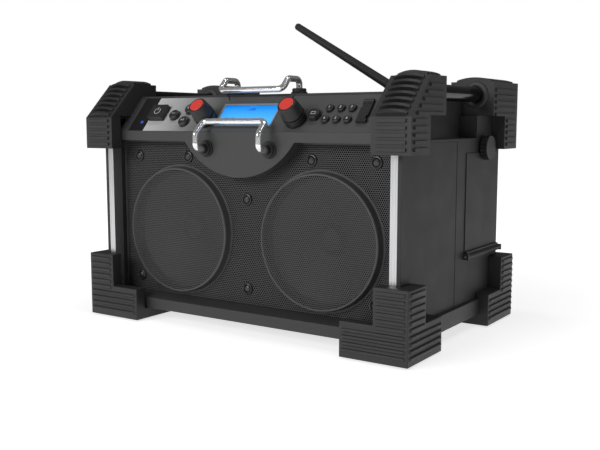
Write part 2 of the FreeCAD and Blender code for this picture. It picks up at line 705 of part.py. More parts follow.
def rear_shell():
    wall_points = [("seam_place", "tray_top"), ("post_front", "tray_top"), ("post_front", "upper_step"),
                   ("pocket_rear", "upper_step"), ("pocket_rear", "ledge"), ("seam_place", "ledge")]
    wall = side_slab(wall_points, "wall_inner", "case_half")
    pocket_end = block(("cover_half", "pocket_rear", "ledge"),
                       ("wall_inner", "pocket_rear + shell_wall", "upper_step"))
    back = block(("-" + "post_inner", "back_plane - shell_wall", "tray_top"),
                 ("post_inner", "back_plane", "upper_step"))
    corner = block(("post_inner" + " - shell_wall", "post_back - shell_wall", "tray_top"),
                   ("wall_inner", "post_back", "upper_step"))
    corner_side = block(("post_inner" + " - shell_wall", "post_back - shell_wall", "tray_top"),
                        ("post_inner", "back_plane", "upper_step"))
    shoulder = block(("cover_half", "pocket_rear", "upper_step - shell_wall"),
                     ("wall_inner", "post_back", "upper_step"))
    lugs = []
    for low, high in (("door_front - lug_width", "door_front"), ("door_back", "door_back + lug_width")):
        axis_height = "door_low - hinge_drop"
        lugs.append(block(("case_half - rib_root", low, axis_height + " - hinge_radius"),
                          ("case_half + hinge_out + hinge_radius", high, axis_height + " + hinge_radius")))
    side = join(wall, pocket_end, corner, corner_side, shoulder)
    body = join(back, side, mirror(side, (1, 0, 0)), *lugs)
    seat = block(("case_half + door_proud - door_sheet - running_gap", "door_front - running_gap",
                  "door_low - running_gap"),
                 ("case_half + hinge_out", "door_back + running_gap", "door_high + running_gap"))
    mouth = block(("wall_inner" + " - shell_wall", "door_front + door_lip", "door_low + door_lip"),
                  ("case_half + shell_wall", "box_back", "door_high - door_lip"))
    latch = rod(("wall_inner" + " - shell_wall", "door_middle", "latch_height"),
                "latch_shank + 2 * running_gap", "3 * side_wall", ALONG_X)
    pin = rod(("case_half + hinge_out", "0", "door_low - hinge_drop"), "pin_radius",
              "half_depth", ALONG_Y)
    inlet = block(("inlet_side - inlet_width / 2", "0", "inlet_height - inlet_tall / 2"),
                  ("inlet_side + inlet_width / 2", "half_depth", "inlet_height + inlet_tall / 2"))
    node("rear_shell", cut(body, seat, mouth, latch, pin, inlet))


def top_cover():
    top = block(("-" + "cover_half", "deck_edge", "deck_top - shell_wall"),
                ("cover_half", "back_plane", "deck_top"))
    skirt = block(("cover_half" + " - shell_wall", "deck_edge", "ledge"),
                  ("cover_half", "back_plane - shell_wall", "deck_top"))
    back = block(("-" + "cover_half", "back_plane - shell_wall", "upper_step"),
                 ("cover_half", "back_plane", "deck_top"))
    floor = block(("cover_half", "-pocket_front", "ledge"), ("case_half", "pocket_rear", "pocket_floor"))
    ramp = cut(block(("cover_half", "-pocket_front", "ledge"), ("case_half", "pocket_rear", "deck_top")),
               ramp_cutter())
    side = join(skirt, floor, ramp)
    body = join(top, back, side, mirror(side, (1, 0, 0)))
    turret = rod(("whip_side", "whip_back", "ledge"), "turret_radius + running_gap", "half_depth")
    node("top_cover", cut(body, turret))




def ramp_cutter():
    """Block whose lower corner face is the slanted side of a hand pocket."""
    box = doc.addObject("Part::Box", "ramp_cutter")
    bind(box, Length="half_width", Width="4 * half_width", Height="4 * half_width")
    turn = "rotation(ramp_turn; -ramp_lean; 0)"
    middle = "2 * half_width"
    across = "case_half + %s * sin(ramp_turn) + %s * cos(ramp_turn) * sin(ramp_lean)" % (middle, middle)
    along = "-pocket_front - %s * cos(ramp_turn) + %s * sin(ramp_turn) * sin(ramp_lean)" % (middle, middle)
    up = "pocket_floor - %s * cos(ramp_lean)" % middle
    return put(box, (across, along, up), turn)


def screw_spots():
    """Grille screws as (x, z)."""
    spots = [("0", "screw_middle"), ("0", "screw_low")]
    for sign in ("-", ""):
        spots.append((sign + "screw_side", "screw_high"))
        spots.append((sign + "screw_inner", "screw_high"))
        spots.append((sign + "screw_side", "screw_low"))
    return spots


ROUND_BUTTONS = {
    "mode_button": ("mode_side", "mode_along"),
    "equalizer_button": ("pair_side", "equalizer_along"),
    "menu_button": ("pair_side", "menu_along"),
}


def preset_spots():
    spots = []
    for row in ("preset_high", "preset_low"):
        for column in range(3):
            spots.append(("preset_side + %d * preset_spread" % column, row))
    return spots


def control_fascia():
    """Front band, sloped deck and shield in one moulding."""
    inner_bend = "bend_height - shell_wall * tan(deck_tilt / 2)"
    skin_points = [("-fascia_front", "fascia_bottom"), ("-fascia_front", "bend_height"),
                   ("deck_edge", "deck_top"),
                   ("deck_edge", "deck_top - shell_wall / cos(deck_tilt)"),
                   ("-fascia_front + shell_wall", inner_bend),
                   ("-fascia_front + shell_wall", "fascia_bottom")]
    skin = side_slab(skin_points, "-" + "cover_half", "cover_half")
    cheek_points = [("-fascia_front", "fascia_bottom"), ("-fascia_front", "bend_height"),
                    ("deck_edge", "deck_top"), ("deck_edge", "fascia_bottom")]
    cheek = side_slab(cheek_points, "cover_half" + " - shell_wall", "cover_half")
    lip = block(("-" + "cover_half", "-fascia_front", "fascia_bottom"),
                ("cover_half", "-face_plane", "fascia_bottom + shell_wall"))
    hub = ("0", "-fascia_front", "shield_low + shield_radius")
    shield_box = block(("-shield_radius", "-fascia_front", "shield_low"),
                       ("shield_radius", "-face_plane", "fascia_bottom"))
    shield = doc.addObject("Part::MultiCommon", "shield")
    shield.Shapes = [rod(hub, "shield_radius", "fascia_front - face_plane", ALONG_Y), shield_box]
    inner_hub = ("0", "-fascia_front + shell_wall", "shield_low + shield_radius")
    hollow_box = block(("-shield_radius", "-fascia_front", "0"),
                       ("shield_radius", "0", "fascia_bottom - shell_wall"))
    hollow = doc.addObject("Part::MultiCommon", "hollow")
    hollow.Shapes = [rod(inner_hub, "shield_radius - shell_wall", "half_depth", ALONG_Y), hollow_box]
    openings = []
    for across in ("volume_side", "tuning_side"):
        openings.append(deck_rod(across, "knob_along", "-2 * shell_wall", "shell_wall",
                                 "stem_radius + running_gap"))
    for across, along in ROUND_BUTTONS.values():
        openings.append(deck_rod(across, along, "-2 * shell_wall", "shell_wall",
                                 "round_radius + running_gap"))
    for across, along in preset_spots():
        openings.append(deck_rod(across, along, "-2 * shell_wall", "shell_wall",
                                 "preset_radius + running_gap"))
    openings.append(power_block("running_gap", "-2 * shell_wall", "shell_wall"))
    openings.append(hexagon("station_radius + running_gap", "-2 * shell_wall", "shell_wall"))
    openings.append(deck_block(("display_left + bezel_rim", "display_low + bezel_rim", "-2 * shell_wall"),
                               ("display_right - bezel_rim", "display_high - bezel_rim", "shell_wall")))
    openings.append(deck_rod("lamp_side", "lamp_along", "-2 * shell_wall", "shell_wall", "lamp_radius"))
    openings.append(deck_rod("flap_side", "flap_middle", "-2 * shell_wall", "shell_wall", "jack_radius"))
    body = join(skin, cheek, mirror(cheek, (1, 0, 0)), lip, shield)
    node("control_fascia", cut(body, hollow, *openings))




def power_block(spare, low, high):
    half_across = "(power_width / 2 + %s)" % spare
    half_along = "(power_length / 2 + %s)" % spare
    return deck_block(("power_side - " + half_across, "power_along - " + half_along, low),
                      ("power_side + " + half_across, "power_along + " + half_along, high))


def hexagon(radius, low, high):
    prism = doc.addObject("Part::Prism", "hexagon")
    prism.Polygon = 6
    bind(prism, Circumradius=radius, Height="(%s) - (%s)" % (high, low))
    return put(prism, deck_spot("station_side", "station_along", low), ON_DECK)


# Grille and woofers

def grille():
    edge = "(case_half - side_wall - post_width)"
    sheet_metal = block(("-" + edge, "-face_plane", "tray_top"),
                        (edge, "-face_plane + grille_sheet", "grille_top"))
    discs, hollows = [], []
    for side in ("-speaker_side", "speaker_side"):
        discs.append(frustum((side, "-face_plane - disc_proud", "speaker_height"),
                             "disc_radius - disc_bevel", "disc_radius", "disc_proud", ALONG_Y))
        hollows.append(frustum((side, "-face_plane - disc_proud + grille_sheet", "speaker_height"),
                               "disc_radius - disc_bevel - grille_sheet", "disc_radius - grille_sheet",
                               "disc_proud", ALONG_Y))
    for across, up in screw_spots():
        hollows.append(rod((across, "-face_plane - disc_proud", up), "screw_shank + shaft_gap",
                           "3 * disc_proud", ALONG_Y))
    node("grille", cut(join(sheet_metal, *discs), *hollows))

    screws = []
    profile = [("0", "-screw_dome"), ("screw_head * 0.5", "-screw_dome"),
               ("screw_head * 0.85", "-screw_dome * 0.7"), ("screw_head", "-screw_dome * 0.25"),
               ("screw_head", "0"), ("screw_shank", "0"), ("screw_shank", "screw_length"),
               ("0", "screw_length")]
    for across, up in screw_spots():
        screws.append(turned(profile, (across, "-face_plane", up), ALONG_Y))
    node("grille_screws", group(*screws))


def woofers():
    """Frames, cones and magnets, each a pair, with the axis along Y."""
    start = "-face_plane + grille_sheet + shell_wall"
    throat = "(woofer_depth - magnet_length)"
    basket = [("woofer_hole - 1", "0"), ("woofer_flange", "0"), ("woofer_flange", "shell_wall"),
              ("woofer_hole + 1", "shell_wall"), ("magnet_radius", throat),
              ("magnet_radius - 20", throat), ("magnet_radius - 20", throat + " - grille_sheet"),
              ("magnet_radius - 2", throat + " - grille_sheet"), ("woofer_hole - 1", "shell_wall")]
    cone = [("0", "14"), ("12", "15.5"), ("18", "20"), ("cone_mouth", "2.2"),
            ("cone_mouth + 4", "0"), ("woofer_hole - 1", "0.6"), ("woofer_hole - 1", "1.8"),
            ("cone_mouth + 4", "1.2"), ("cone_mouth", "3.6"), ("19", "22"), ("14", "22"),
            ("14", "%s - grille_sheet" % throat), ("0", "%s - grille_sheet" % throat)]
    magnet = [("0", throat), ("magnet_radius", throat), ("magnet_radius", "woofer_depth"),
              ("0", "woofer_depth")]
    for label, profile in (("woofer_frames", basket), ("woofer_cones", cone),
                           ("woofer_magnets", magnet)):
        pair = []
        for side in ("-speaker_side", "speaker_side"):
            pair.append(turned(profile, (side, start, "speaker_height"), ALONG_Y))
        node(label, group(*pair))


# Roll bars

def rounded_path(points, radius):
    """Straight runs through the points, with tangent arcs of one radius at the corners."""
    edges = []
    here = points[0]
    for before, corner, after in zip(points, points[1:], points[2:]):
        into = (corner - before).normalize()
        away = (after - corner).normalize()
        turn_angle = into.getAngle(away)
        setback = radius * math.tan(turn_angle / 2)
        first = corner - into * setback
        last = corner + away * setback
        middle_way = (away - into).normalize()
        reach = radius / math.cos(turn_angle / 2) - radius
        edges.append(Part.LineSegment(here, first).toShape())
        edges.append(Part.Arc(first, corner + middle_way * reach, last).toShape())
        here = last
    edges.append(Part.LineSegment(here, points[-1]).toShape())
    return Part.Wire(edges)


def bent_rod(label, leg):
    """Rod whose left leg is a list of (y, z) values, mirrored for the right leg."""
    half = size("bar_half")
    left = [FreeCAD.Vector(-half, y, z) for y, z in leg]
    right = [FreeCAD.Vector(half, y, z) for y, z in reversed(leg)]
    path = rounded_path(left + right, size("rod_bend"))
    first = path.Edges[0]
    tangent = first.tangentAt(first.FirstParameter)
    ring = Part.Wire(Part.makeCircle(size("rod_radius"), left[0], tangent))
    bar = doc.addObject("Part::Feature", label)
    bar.Shape = path.makePipeShell([ring], True, True)
    return node(label, bar)


def roll_bars():
    deck_point = lambda along, above: [sheet_value(t) for t in deck_spot("0", along, above)[1:]]
    front = -size("fascia_front")
    leg_front = -size("bar_front")
    boss_up = size("bar_boss_height")
    knee = size("bar_knee")
    cross = deck_point("bar_along", "bar_clear")
    bent_rod("front_roll_bar", [(front, boss_up), (leg_front, boss_up), (leg_front, knee), cross])

    boss_y = sheet_value("deck_edge" + " + top_boss_back")
    top = size("deck_top")
    crown = top + size("top_bar_rise")
    front_y = boss_y - size("top_bar_reach")
    cross = deck_point("top_bar_along", "top_bar_clear")
    bent_rod("top_roll_bar", [(boss_y, top), (boss_y, crown), (front_y, crown), cross])

    bore = "rod_radius + shaft_gap"
    front_boss = [(bore, "0"), ("boss_radius", "0"), ("boss_radius", "boss_height - 2"),
                  ("collar_radius", "boss_height - 2"),
                  ("collar_radius", "boss_height - 2 + collar_height"),
                  (bore, "boss_height - 2 + collar_height")]
    top_boss = [(bore, "0"), ("boss_radius", "0"), ("boss_radius", "boss_height - 1"),
                ("boss_radius - 1", "boss_height"), (bore, "boss_height")]
    bosses = []
    for side in ("-bar_half", "bar_half"):
        bosses.append(turned(front_boss, (side, "-fascia_front", "bar_boss_height"), FRONT_VIEW))
        bosses.append(turned(top_boss, (side, "deck_edge" + " + top_boss_back", "deck_top")))
    node("roll_bar_bosses", group(*bosses))


# Controls on the deck

def knobs():
    foot = "running_gap"
    stem_end = "-board_drop + board_sheet + running_gap"
    profile = [("0", stem_end), ("stem_radius", stem_end),
               ("stem_radius", foot), ("knob_radius", foot), ("knob_radius", "skirt_height"),
               ("knob_waist", "skirt_height + 0.6"), ("knob_top", "knob_height - 0.8"),
               ("knob_top - 0.8", "knob_height"), ("cap_radius", "knob_height"),
               ("cap_radius", "knob_height - cap_depth"), ("0", "knob_height - cap_depth")]
    cap = [("0", "knob_height - cap_depth"), ("cap_radius", "knob_height - cap_depth"),
           ("cap_radius", "knob_height"), ("cap_radius - 0.5", "knob_height + cap_proud"),
           ("0", "knob_height + cap_proud")]
    for name, across in (("volume", "volume_side"), ("tuning", "tuning_side")):
        spot = deck_spot(across, "knob_along", "0")
        node(name + "_knob", turned(profile, spot, ON_DECK))
        node(name + "_cap", turned(cap, spot, ON_DECK))


def buttons():
    node("power_button", power_block("0", "-button_root", "power_height"))
    for name, (across, along) in ROUND_BUTTONS.items():
        round_button(name, across, along, "round_radius", "round_height")
    node("station_button", hexagon("station_radius", "-button_root", "station_height"))
    for number, (across, along) in enumerate(preset_spots(), start=1):
        round_button("preset_button_%d" % number, across, along, "preset_radius", "preset_height")


def round_button(label, across, along, radius, height):
    profile = [("0", "-button_root"), (radius, "-button_root"), (radius, height + " - 1.2"),
               (radius + " - 0.5", height + " - 0.5"), (radius + " * 0.6", height), ("0", height)]
    node(label, turned(profile, deck_spot(across, along, "0"), ON_DECK))


def display():
    outer_low = ("display_left", "display_low", "0")
    outer_high = ("display_right", "display_high", "bezel_proud")
    inner_low = ("display_left + bezel_rim", "display_low + bezel_rim", "-lens_sheet")
    inner_high = ("display_right - bezel_rim", "display_high - bezel_rim", "shell_wall")
    node("display_bezel", cut(deck_block(outer_low, outer_high), deck_block(inner_low, inner_high)))
    lens_high = ("display_right - bezel_rim", "display_high - bezel_rim", "0")
    node("display_lens", deck_block(inner_low, lens_high))
    module_low = ("display_left + bezel_rim", "display_low + bezel_rim", "-lens_sheet - module_depth")
    module_high = ("display_right - bezel_rim", "display_high - bezel_rim", "-lens_sheet")
    node("display_module", deck_block(module_low, module_high))
    lamp = [("0", "-shell_wall"), ("lamp_radius", "-shell_wall"), ("lamp_radius", "0.2"),
            ("lamp_radius - 0.5", "0.6"), ("0", "0.6")]
    node("pilot_lamp", turned(lamp, deck_spot("lamp_side", "lamp_along", "0"), ON_DECK))


def control_board():
    """Board under the deck with its switches, encoders and the auxiliary socket."""
    low, high = "-board_drop", "-board_drop + board_sheet"
    edge = "(%s - 2 * shell_wall)" % "cover_half"
    board = deck_block(("-" + edge, "7", low), (edge, "%s - 7" % "deck_long", high))
    parts = [board]
    switch_top = "-button_root - button_travel - running_gap"
    spots = [("power_side", "power_along"), ("station_side", "station_along")]
    spots += list(ROUND_BUTTONS.values()) + preset_spots()
    for across, along in spots:
        parts.append(deck_block((across + " - 2.5", along + " - 2.5", low),
                                (across + " + 2.5", along + " + 2.5", switch_top)))
    bores = []
    for across in ("volume_side", "tuning_side"):
        parts.append(deck_block((across + " - 7", "knob_along - 7", "-board_drop - 6"),
                                (across + " + 7", "knob_along + 7", "-board_drop + 4.5")))
        bores.append(deck_rod(across, "knob_along", high, "0", "stem_radius + shaft_gap"))
    parts.append(deck_rod("flap_side", "flap_middle", low, "0", "jack_radius"))
    bores.append(deck_rod("flap_side", "flap_middle", "-board_drop + board_sheet", "shell_wall",
                          "jack_bore"))
    node("control_board", cut(join(*parts), *bores))


def aux_flap():
    """Rubber flap with a hinge roll at its upper end."""
    left, right = "flap_side - flap_width / 2", "flap_side + flap_width / 2"
    lid = deck_block((left, "flap_low", "running_gap"), (right, "flap_high", "flap_height"))
    neck = "flap_width / 4"
    notch_left = deck_block((left + " - 1", "flap_high - 8", "0"),
                            (left + " + " + neck + " - 1.5", "flap_high - 4", "2 * flap_height"))
    notch_right = deck_block((right + " - " + neck + " + 1.5", "flap_low + 4", "0"),
                             (right + " + 1", "flap_low + 8", "2 * flap_height"))
    roll = rod(deck_spot(left, "flap_high + flap_barrel - 0.4", "flap_barrel + running_gap"),
               "flap_barrel", "flap_width", ALONG_X)
    node("aux_flap", cut(join(lid, roll), notch_left, notch_right))


# Side compartment

def compartment():
    inner_face = "case_half + door_proud - door_sheet"
    hinge = ("case_half + hinge_out", "door_front + running_gap", "door_low - hinge_drop")
    hinge_long = "door_back - door_front - 2 * running_gap"
    plate = block((inner_face, "door_front", "door_low"),
                  ("case_half + door_proud", "door_back", "door_high"))
    barrel = rod(hinge, "hinge_radius", hinge_long, ALONG_Y)
    web = block(("case_half + running_gap", "door_front + running_gap", "door_low - hinge_drop + 0.5"),
                ("case_half + hinge_out", "door_back - running_gap", "door_low + 2"))
    tab = block(("case_half + running_gap", "door_middle" + " - tab_half", "door_high - 3"),
                ("case_half + running_gap + tab_sheet", "door_middle" + " + tab_half",
                 "latch_height + tab_half"))
    pin_hole = rod(("case_half + hinge_out", "0", "door_low - hinge_drop"),
                   "pin_radius + shaft_gap", "half_depth", ALONG_Y)
    latch_hole = rod((inner_face, "door_middle", "latch_height"), "latch_shank + shaft_gap",
                     "2 * door_sheet", ALONG_X)
    node("compartment_door", cut(join(plate, barrel, web, tab), pin_hole, latch_hole))
    node("hinge_pin", rod(("case_half + hinge_out", "door_front - lug_width",
                           "door_low - hinge_drop"),
                          "pin_radius", "door_back - door_front + 2 * lug_width", ALONG_Y))
    thumb_screw()

    deep = "wall_inner" + " - box_depth"
    outer = block((deep, "door_front + door_lip - box_wall", "door_low + door_lip - box_wall"),
                  ("wall_inner", "box_back + box_wall", "door_high - door_lip + box_wall"))
    inner = block((deep + " + box_wall", "door_front + door_lip", "door_low + door_lip"),
                  ("wall_inner", "box_back", "door_high - door_lip"))
    node("compartment_box", cut(outer, inner))


def thumb_screw():
    """Head with grip notches round its rim, on a plain shank."""
    body = doc.addObject("PartDesign::Body", "thumb_body")
    circle = body.newObject("Sketcher::SketchObject", "head_circle")
    circle.AttachmentSupport = (plane_of(body, "XY_Plane"), [""])
    circle.MapMode = "FlatFace"
    ring_constraint(circle, "0", "latch_radius")
    doc.recompute()
    head = body.newObject("PartDesign::Pad", "head")
    head.Profile = circle
    bind(head, Length="latch_head")
    doc.recompute()
    notch_sketch = body.newObject("Sketcher::SketchObject", "notch_circle")
    notch_sketch.AttachmentSupport = (plane_of(body, "XY_Plane"), [""])
    notch_sketch.MapMode = "FlatFace"
    ring_constraint(notch_sketch, "latch_radius", "latch_notch")
    doc.recompute()
    notch = body.newObject("PartDesign::Pocket", "notch")
    notch.Profile = notch_sketch
    notch.Reversed = True
    bind(notch, Length="latch_head * 0.8")
    doc.recompute()
    pattern = body.newObject("PartDesign::PolarPattern", "notches")
    pattern.Originals = [notch]
    pattern.Axis = (notch_sketch, ["N_Axis"])
    pattern.Angle = 360
    bind(pattern, Occurrences="latch_notches")
    body.Tip = pattern
    doc.recompute()
    shank_sketch = body.newObject("Sketcher::SketchObject", "shank_circle")
    shank_sketch.AttachmentSupport = (plane_of(body, "XY_Plane"), [""])
    shank_sketch.MapMode = "FlatFace"
    ring_constraint(shank_sketch, "0", "latch_shank")
    doc.recompute()
    shank = body.newObject("PartDesign::Pad", "shank")
    shank.Profile = shank_sketch
    shank.Reversed = True
    bind(shank, Length="tab_sheet + 2 * running_gap + side_wall")
    body.Tip = shank
    put(body, ("case_half + 2 * running_gap + tab_sheet", "door_middle", "latch_height"), ALONG_X)
    node("thumb_screw", body)


def ring_constraint(sketch, centre, radius):
    """Circle on the sketch's horizontal axis, bound to two expressions."""
    spot = FreeCAD.Vector(sheet_value(centre), 0, 0)
    sketch.addGeometry(Part.Circle(spot, FreeCAD.Vector(0, 0, 1), sheet_value(radius)), False)
    across = sketch.addConstraint(Sketcher.Constraint("DistanceX", -1, 1, 0, 3, spot.x))
    sketch.renameConstraint(across, "across")
    sketch.addConstraint(Sketcher.Constraint("DistanceY", -1, 1, 0, 3, 0))
    wide = sketch.addConstraint(Sketcher.Constraint("Radius", 0, sheet_value(radius)))
    sketch.renameConstraint(wide, "wide")
    sketch.setExpression("Constraints.across", bound(centre))
    sketch.setExpression("Constraints.wide", bound(radius))


# Antenna

def antenna():
    cover_under = "(deck_top - shell_wall)"
    floor = "(deck_top - turret_depth)"
    stem = "swivel_stem"
    foot = floor + " - stem_length"
    socket = [(stem + " + shaft_gap", foot), ("socket_radius", foot), ("socket_radius", cover_under),
              ("turret_radius + running_gap", cover_under),
              ("turret_radius + running_gap", floor + " - running_gap"),
              (stem + " + shaft_gap", floor + " - running_gap")]
    node("antenna_socket", turned(socket, ("whip_side", "whip_back", "0")))
    turret_top = "deck_top + turret_proud"
    disc = [("0", foot), (stem, foot),
            (stem, floor), ("turret_radius", floor), ("turret_radius", turret_top + " - 0.6"),
            ("turret_radius - 0.6", turret_top), ("0", turret_top)]
    pieces = [turned(disc, ("whip_side", "whip_back", "0"))]
    ear_in, ear_out = "(knuckle_half + running_gap)", "(knuckle_half + running_gap + ear_sheet)"
    for low, high in (("whip_back + " + ear_in, "whip_back + " + ear_out),
                      ("whip_back - " + ear_out, "whip_back - " + ear_in)):
        pieces.append(block(("whip_side - knuckle_radius", low, floor),
                            ("whip_side + knuckle_radius", high, "whip_height")))
        pieces.append(rod(("whip_side", low, "whip_height"), "knuckle_radius", "ear_sheet", ALONG_Y))
    pieces.append(rod(("whip_side", "whip_back - " + ear_out, "whip_height"), "pin_radius",
                      "2 * " + ear_out, ALONG_Y))
    node("antenna_turret", join(*pieces))

    lean = "rotation(vector(0; 1; 0); whip_tilt - 90)"
    sleeve = [("0", "whip_start"), ("whip_root_radius - 1", "whip_start"),
              ("whip_root_radius", "whip_start + 1"), ("whip_tip_radius", "whip_length - 3"),
              ("whip_tip_radius * 0.8", "whip_length - 1"), ("whip_tip_radius * 0.45", "whip_length"),
              ("0", "whip_length")]
    pivot = ("whip_side", "whip_back", "whip_height")
    knuckle = rod(("whip_side", "whip_back - knuckle_half", "whip_height"), "knuckle_radius",
                  "2 * knuckle_half", ALONG_Y)
    neck = rod(pivot, "knuckle_radius - 0.8", "whip_start + 1", lean)
    pin_hole = rod(("whip_side", "0", "whip_height"), "pin_radius + shaft_gap", "half_depth", ALONG_Y)
    node("antenna_whip", cut(join(turned(sleeve, pivot, lean), knuckle, neck), pin_hole))


# Rear and inside

def rear_panel():
    plate = block(("-panel_half", "back_plane", "panel_low"),
                  ("panel_half", "back_plane + panel_sheet", "panel_high"))
    inlet_low = ("inlet_side - inlet_width / 2", "0", "inlet_height - inlet_tall / 2")
    inlet_high = ("inlet_side + inlet_width / 2", "half_depth", "inlet_height + inlet_tall / 2")
    node("rear_panel", cut(plate, block(inlet_low, inlet_high)))
    outer = block((inlet_low[0], "back_plane + panel_sheet - inlet_depth", inlet_low[2]),
                  (inlet_high[0], "back_plane + panel_sheet", inlet_high[2]))
    inner = block((inlet_low[0] + " + inlet_wall", "back_plane + panel_sheet - inlet_depth + inlet_wall",
                   inlet_low[2] + " + inlet_wall"),
                  (inlet_high[0] + " - inlet_wall", "half_depth", inlet_high[2] + " - inlet_wall"))
    node("mains_inlet", cut(outer, inner))


def electronics():
    back = "back_plane - shell_wall"
    board_low = "(tray_top + standoff)"
    left, right = "-amp_width / 2 - amp_shift", "amp_width / 2 - amp_shift"
    front = back + " - amp_margin - amp_depth"
    board = block((left, front, board_low), (right, back + " - amp_margin", board_low + " + board_sheet"))
    pieces = [board]
    for side in (left + " + foot_margin", right + " - foot_margin"):
        for depth in (front + " + foot_margin", back + " - amp_margin - foot_margin"):
            pieces.append(rod((side, depth, "tray_top"), "standoff_radius", "standoff"))
    sink = block((left + " + sink_end", back + " - sink_margin - sink_depth", board_low + " + board_sheet"),
                 (right + " - sink_end", back + " - sink_margin", board_low + " + sink_height"))
    pieces.append(sink)
    node("amplifier_board", join(*pieces))
    core = block(("core_side", "core_front", "tray_top"),
                 ("core_side + core_width", "core_front + core_depth", "tray_top + core_height"))
    flange = block(("core_side - core_flange", "core_front + core_margin", "tray_top"),
                   ("core_side + core_width + core_flange", "core_front + core_depth - core_margin",
                    "tray_top + shell_wall"))
    node("power_transformer", join(core, flange))


guards()
frame_pieces()
front_shell()
rear_shell()
top_cover()
control_fascia()
grille()
woofers()
roll_bars()
knobs()
buttons()
display()
control_board()
aux_flap()
compartment()
antenna()
rear_panel()
electronics()
doc.recompute()

# Checks and files

for thing in doc.Objects:
    if "Invalid" in thing.State or "Error" in thing.State:
        raise RuntimeError("failed object: %s %s" % (thing.Label, thing.State))
for thing in NODES:
    if thing.Shape.isNull() or not thing.Shape.isValid() or not thing.Shape.Solids:
        raise RuntimeError("bad shape: " + thing.Label)

os.makedirs("parts", exist_ok=True)
for thing in NODES:
    thing.Shape.exportStep("parts/%s.step" % thing.Label)
print("wrote", len(NODES), "parts")
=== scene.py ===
import json
import math

import bmesh
import bpy
from mathutils import Matrix, Vector

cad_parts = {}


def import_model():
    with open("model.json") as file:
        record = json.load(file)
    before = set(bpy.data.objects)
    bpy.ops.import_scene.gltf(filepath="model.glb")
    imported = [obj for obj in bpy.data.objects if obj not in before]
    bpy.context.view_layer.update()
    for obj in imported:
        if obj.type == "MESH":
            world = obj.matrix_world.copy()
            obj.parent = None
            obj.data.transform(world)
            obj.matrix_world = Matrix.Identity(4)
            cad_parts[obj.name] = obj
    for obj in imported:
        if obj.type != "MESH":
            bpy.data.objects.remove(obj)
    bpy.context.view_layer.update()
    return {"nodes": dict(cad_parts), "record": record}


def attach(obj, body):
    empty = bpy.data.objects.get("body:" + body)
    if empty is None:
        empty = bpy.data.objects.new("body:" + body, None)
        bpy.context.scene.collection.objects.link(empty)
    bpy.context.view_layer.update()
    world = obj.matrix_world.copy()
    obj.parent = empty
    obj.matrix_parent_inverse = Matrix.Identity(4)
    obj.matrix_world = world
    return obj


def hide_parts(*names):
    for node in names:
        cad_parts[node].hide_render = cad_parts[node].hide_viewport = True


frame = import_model()
NODES = frame["nodes"]

MM = 0.001

# Places taken over from the solids, in millimetres

FASCIA_FRONT = -126
BEND_HEIGHT = 228.4
DECK_TILT = math.radians(49)
GRILLE_PLANE = -108
GRILLE_HALF = 190.7
GRILLE_LOW = 17.5
GRILLE_TOP = 217.5
DISC_PLANE = -117
DISC_SIDE = 98.5
DISC_HEIGHT = 112
DISC_FOOT = 75
DISC_RADIUS = 73.5
SCREW_OUTER, SCREW_INNER = 165, 86.5
SCREW_HIGH, SCREW_MIDDLE, SCREW_LOW = 198.5, 152.6, 50.8
SCREWS = [(0, SCREW_MIDDLE), (0, SCREW_LOW)]
for screw_sign in (-1, 1):
    SCREWS += [(screw_sign * SCREW_OUTER, SCREW_HIGH), (screw_sign * SCREW_INNER, SCREW_HIGH),
               (screw_sign * SCREW_OUTER, SCREW_LOW)]
HANDLE_SIDE = 198
HANDLE_HEIGHT = 270
HANDLE_END = 64.9
POST_RIDGES = (193.3, 196.6)
POST_FACE = 128
POST_LOW, POST_HIGH = 78.5, 207
WALL_FACE = 203.38
SEAM_PLACE = 3.6
SEAM_LOW, SEAM_HIGH = 33, 217.5
BOSS_SIDE = 43.5
FRONT_BOSS_HEIGHT = 209.5
TOP_BOSS_PLACE = -67.7
COVER_TOP = 270
REAR_FACE = 126.5
WHIP_PIVOT = (82.4, 100, 277)
WHIP_LEAN = 30.1

# Places on the sloped deck: across it and up its slope, in millimetres

PRESET_ACROSS, PRESET_SPREAD = 107.8, 13.5
PRESET_HIGH, PRESET_LOW = 32, 16.7
PRESETS = [(PRESET_ACROSS + PRESET_SPREAD * (i % 3), PRESET_HIGH if i < 3 else PRESET_LOW)
           for i in range(6)]
ROUND_BUTTONS = {
    "mode_button": (-103.1, 23.1),
    "equalizer_button": (-83.6, 13.5),
    "menu_button": (-83.6, 32.2),
}
STATION = (93, 22.3)
POWER = (-129.6, 26.5)
KNOBS = {"volume_knob": (-50.2, 16.9), "tuning_knob": (71.7, 16.9)}
DISPLAY_LEFT = -34.7
DISPLAY_LOW, DISPLAY_HIGH = 9.6, 38.7
PANEL_HALF = 176.5
PANEL_FOOT = 0.8
PANEL_HEAD = 52.0
SILVER_LEFT = -142.5
SILVER_FOOT = 0.6
STRIP_LEFT = -166
STRIP_HEAD = 51.8
LAMP_LEFT, LAMP_RIGHT = -153.9, -148.9
LAMP_LOW, LAMP_HIGH = 11.4, 16.4

DECK_UP = Vector((0, math.cos(DECK_TILT), math.sin(DECK_TILT)))
DECK_OUT = Vector((0, -math.sin(DECK_TILT), math.cos(DECK_TILT)))
DECK_ORIGIN = Vector((0, FASCIA_FRONT * MM, BEND_HEIGHT * MM))
DECK = Matrix.Translation(DECK_ORIGIN) @ Matrix.Rotation(DECK_TILT, 4, "X")
ALONG_Y = Matrix.Rotation(math.radians(-90), 4, "X")
FACING_FRONT = Matrix.Rotation(math.radians(90), 4, "X")
FACING_REAR = FACING_FRONT @ Matrix.Rotation(math.pi, 4, "Y")


# Materials

def node_of(tree, kind, **values):
    made = tree.nodes.new(kind)
    for name, value in values.items():
        setattr(made, name, value)
    return made


